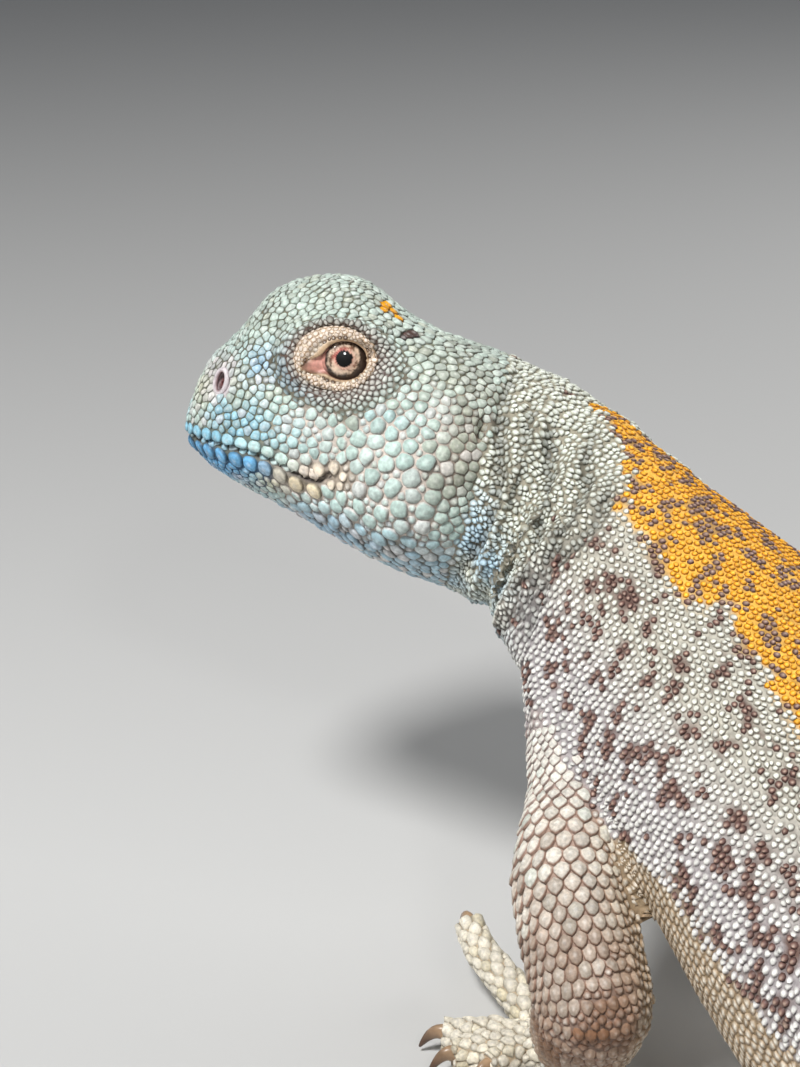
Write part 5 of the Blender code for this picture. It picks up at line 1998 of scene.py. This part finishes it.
def eyeTone(x, z, seed):
    # x and z from the eyeball's middle, towards the rear and up
    fromPupil = (x - eyeShape["pupilMiddle"][0], z - eyeShape["pupilMiddle"][1])
    fromIris = (x - eyeShape["irisMiddle"][0], z - eyeShape["irisMiddle"][1])
    reach, angle = math.hypot(*fromIris), math.atan2(fromIris[1], fromIris[0])
    around = Vector((math.cos(angle) * 2.6 + seed * 5, math.sin(angle) * 2.6, reach * 3.0))
    streak = noise.noise(around) + 0.6 * noise.noise(around * 2.9)
    if math.hypot(*fromPupil) < eyeShape["pupil"] * (1 + 0.03 * streak):
        return tones["black"] * 0.1
    red = 1 - fade(math.hypot(*fromPupil), eyeShape["pupil"], eyeShape["redRing"] + 0.3 * streak)
    # The iris browns towards its top: its own mottling, with painted shade from the upper lid
    tone = mixed("irisGold", "irisBrown", fade(streak + 0.25 * math.sin(angle), -0.05, 0.5))
    tone = mixed(tone, tones["irisRed"], red * (0.35 + 0.55 * max(0.0, math.cos(angle - 2.6))))
    ring = eyeShape["darkRing"] - 0.22 * math.cos(angle + 0.9)
    tone = mixed(tone, tones["irisRingAndShade"], fade(reach + 0.3 * streak, ring - 0.15, ring + 0.2))
    # painted shade: beyond the iris, the eyeball's rim is dark wherever the lids cover it, with pink flesh
    # only towards the front corner
    front = fade(-math.cos(angle + 0.4), 0.2, 0.8)
    outside = fade(reach, eyeShape["outer"] - 0.08, eyeShape["outer"])
    return mixed(tone, mixed("irisRingAndShade", "eyeFlesh", front), outside)


for name, node, side in (("eyeball_l", "eye_l", -1), ("eyeball_r", "eye_r", 1)):
    shape = {"segments": eyeShape["segments"], "ring_count": eyeShape["rings"]}
    bpy.ops.mesh.primitive_uv_sphere_add(radius=lidShape["eyeRadius"] * mm, **shape)
    ball = bpy.context.object
    ball.name = name
    x, y, z = lidShape["eye"]
    gaze = headTurn @ Vector((0.0, side, 0.0))
    place = Matrix.Translation(inFrame(headPlace @ Vector((x, y * side, z))))
    ball.data.transform(place @ Vector((0, 0, 1)).rotation_difference(gaze).to_matrix().to_4x4())
    colours = []
    for vertex in ball.data.vertices:
        local = headBack @ (vertex.co / mm + boxMiddle)
        colours.append(eyeTone(local.x - x, local.z - z, side) if local.y * side > y else tones["eyeFlesh"])
    paintMesh(ball.data, colours)
    activate(ball)
    bpy.ops.object.shade_smooth()
    finishPiece(ball, eyeGloss, "eye", node)
print("eyes built")

# Claws: curved, narrow and pointed
clawShape = {
    "length": 2.6,
    "start": 0.9,
    "radius": 1.3,
    "tip": 0.16,
    "narrow": 0.72,
    "drop": 2.0,
    "arch": 0.9,
    "lowest": (0.2, 0.08),  # of the middle line and of the surface
    "sides": 14,
    "rings": 16,
}


def buildClaws(limbName, limb):
    points, faces, endFaces, colours = [], [], [], []
    sides, rings = clawShape["sides"], clawShape["rings"]
    for number in range(5):
        end = Vector(toePath(limb, number)[-1][:3])
        way = levelWay(limb["toes"][number][3])
        across = Vector((0, 0, 1)).cross(way)
        start = len(points)
        for ring in range(rings + 1):
            share = ring / rings
            reach = clawShape["length"] * share - clawShape["start"] * (1 - share)
            drop = clawShape["drop"] * share ** 2.2 - clawShape["arch"] * math.sin(math.pi * share) * 0.6
            centre = end + way * reach - Vector((0, 0, drop))
            centre.z = max(centre.z, clawShape["lowest"][0])
            slope = math.atan2(clawShape["drop"] * 2.2 * share ** 1.2, clawShape["length"])
            up = Vector((0, 0, 1)) * math.cos(slope) + way * math.sin(slope)
            radius = clawShape["tip"] + (clawShape["radius"] - clawShape["tip"]) * (1 - share) ** 0.8
            for k in range(sides):
                angle = 2 * math.pi * k / sides
                p = centre + across * math.cos(angle) * radius * clawShape["narrow"]
                p += up * math.sin(angle) * radius
                p.z = max(p.z, clawShape["lowest"][1])
                points.append(p)
                colours.append(mixed("claw", "clawTip", fade(share, 0.2, 0.8)))
        for ring in range(rings):
            for k in range(sides):
                a, b = start + ring * sides + k, start + ring * sides + (k + 1) % sides
                faces.append((a, a + sides, b + sides, b))
        rear, tip = start, start + rings * sides
        endFaces += [(rear, rear + k, rear + k + 1) for k in range(1, sides - 1)]
        endFaces += [(tip, tip + k + 1, tip + k) for k in range(1, sides - 1)]
    piece = meshPiece("claws_" + limbName, points, [faces, endFaces], np.array(colours))
    fixNormals(piece)
    finishPiece(piece, clawHorn, "claw", *[f"{limbName}_foot_claw_{number + 1}" for number in range(5)])


for limbName, limb in limbShapes.items():
    buildClaws(limbName, limb)
print("claws built")

# Rims of the nostrils
rimShape = {"reach": (0.86, 1.46), "radius": 0.34, "height": 0.42, "turns": 40, "sides": 12}


def buildRim(name, place):
    _, normal, _, _ = headTree.find_nearest(place)
    normal = facing(normal, place - headPlace @ Vector((5, 0, 3)))
    side, up = sideAndUp(normal)
    (sideReach, upReach), n, s = rimShape["reach"], rimShape["turns"], rimShape["sides"]
    points, colours = [], []
    for i in range(n):
        a = 2 * math.pi * i / n
        out = side * math.cos(a) + up * math.sin(a)
        centre = place + side * math.cos(a) * sideReach + up * math.sin(a) * upReach
        centre += normal * rimShape["height"]
        for k in range(s):
            b = 2 * math.pi * k / s
            points.append(centre + (out * math.cos(b) + normal * math.sin(b)) * rimShape["radius"])
            # painted shade: the rim's inner side darkens towards the opening, partly the opening's own dark
            # red flesh
            inward = fade(-math.cos(b), 0.2, 0.8)
            colours.append(mixed("nostrilRim", "nostrilDeep", 0.7 * inward))
    i, k = np.meshgrid(np.arange(n), np.arange(s), indexing="ij")
    a, b = i * s + k, (i + 1) % n * s + k
    c, d = (i + 1) % n * s + (k + 1) % s, i * s + (k + 1) % s
    piece = meshPiece(name, points, [np.stack([a, b, c, d], 2).reshape(-1, 4)], np.array(colours))
    fixNormals(piece)
    finishPiece(piece, headHorn, "head_skin")


for name, place in zip(("nostrilRim_l", "nostrilRim_r"), nostrils):
    buildRim(name, place)
print("nostrils built")
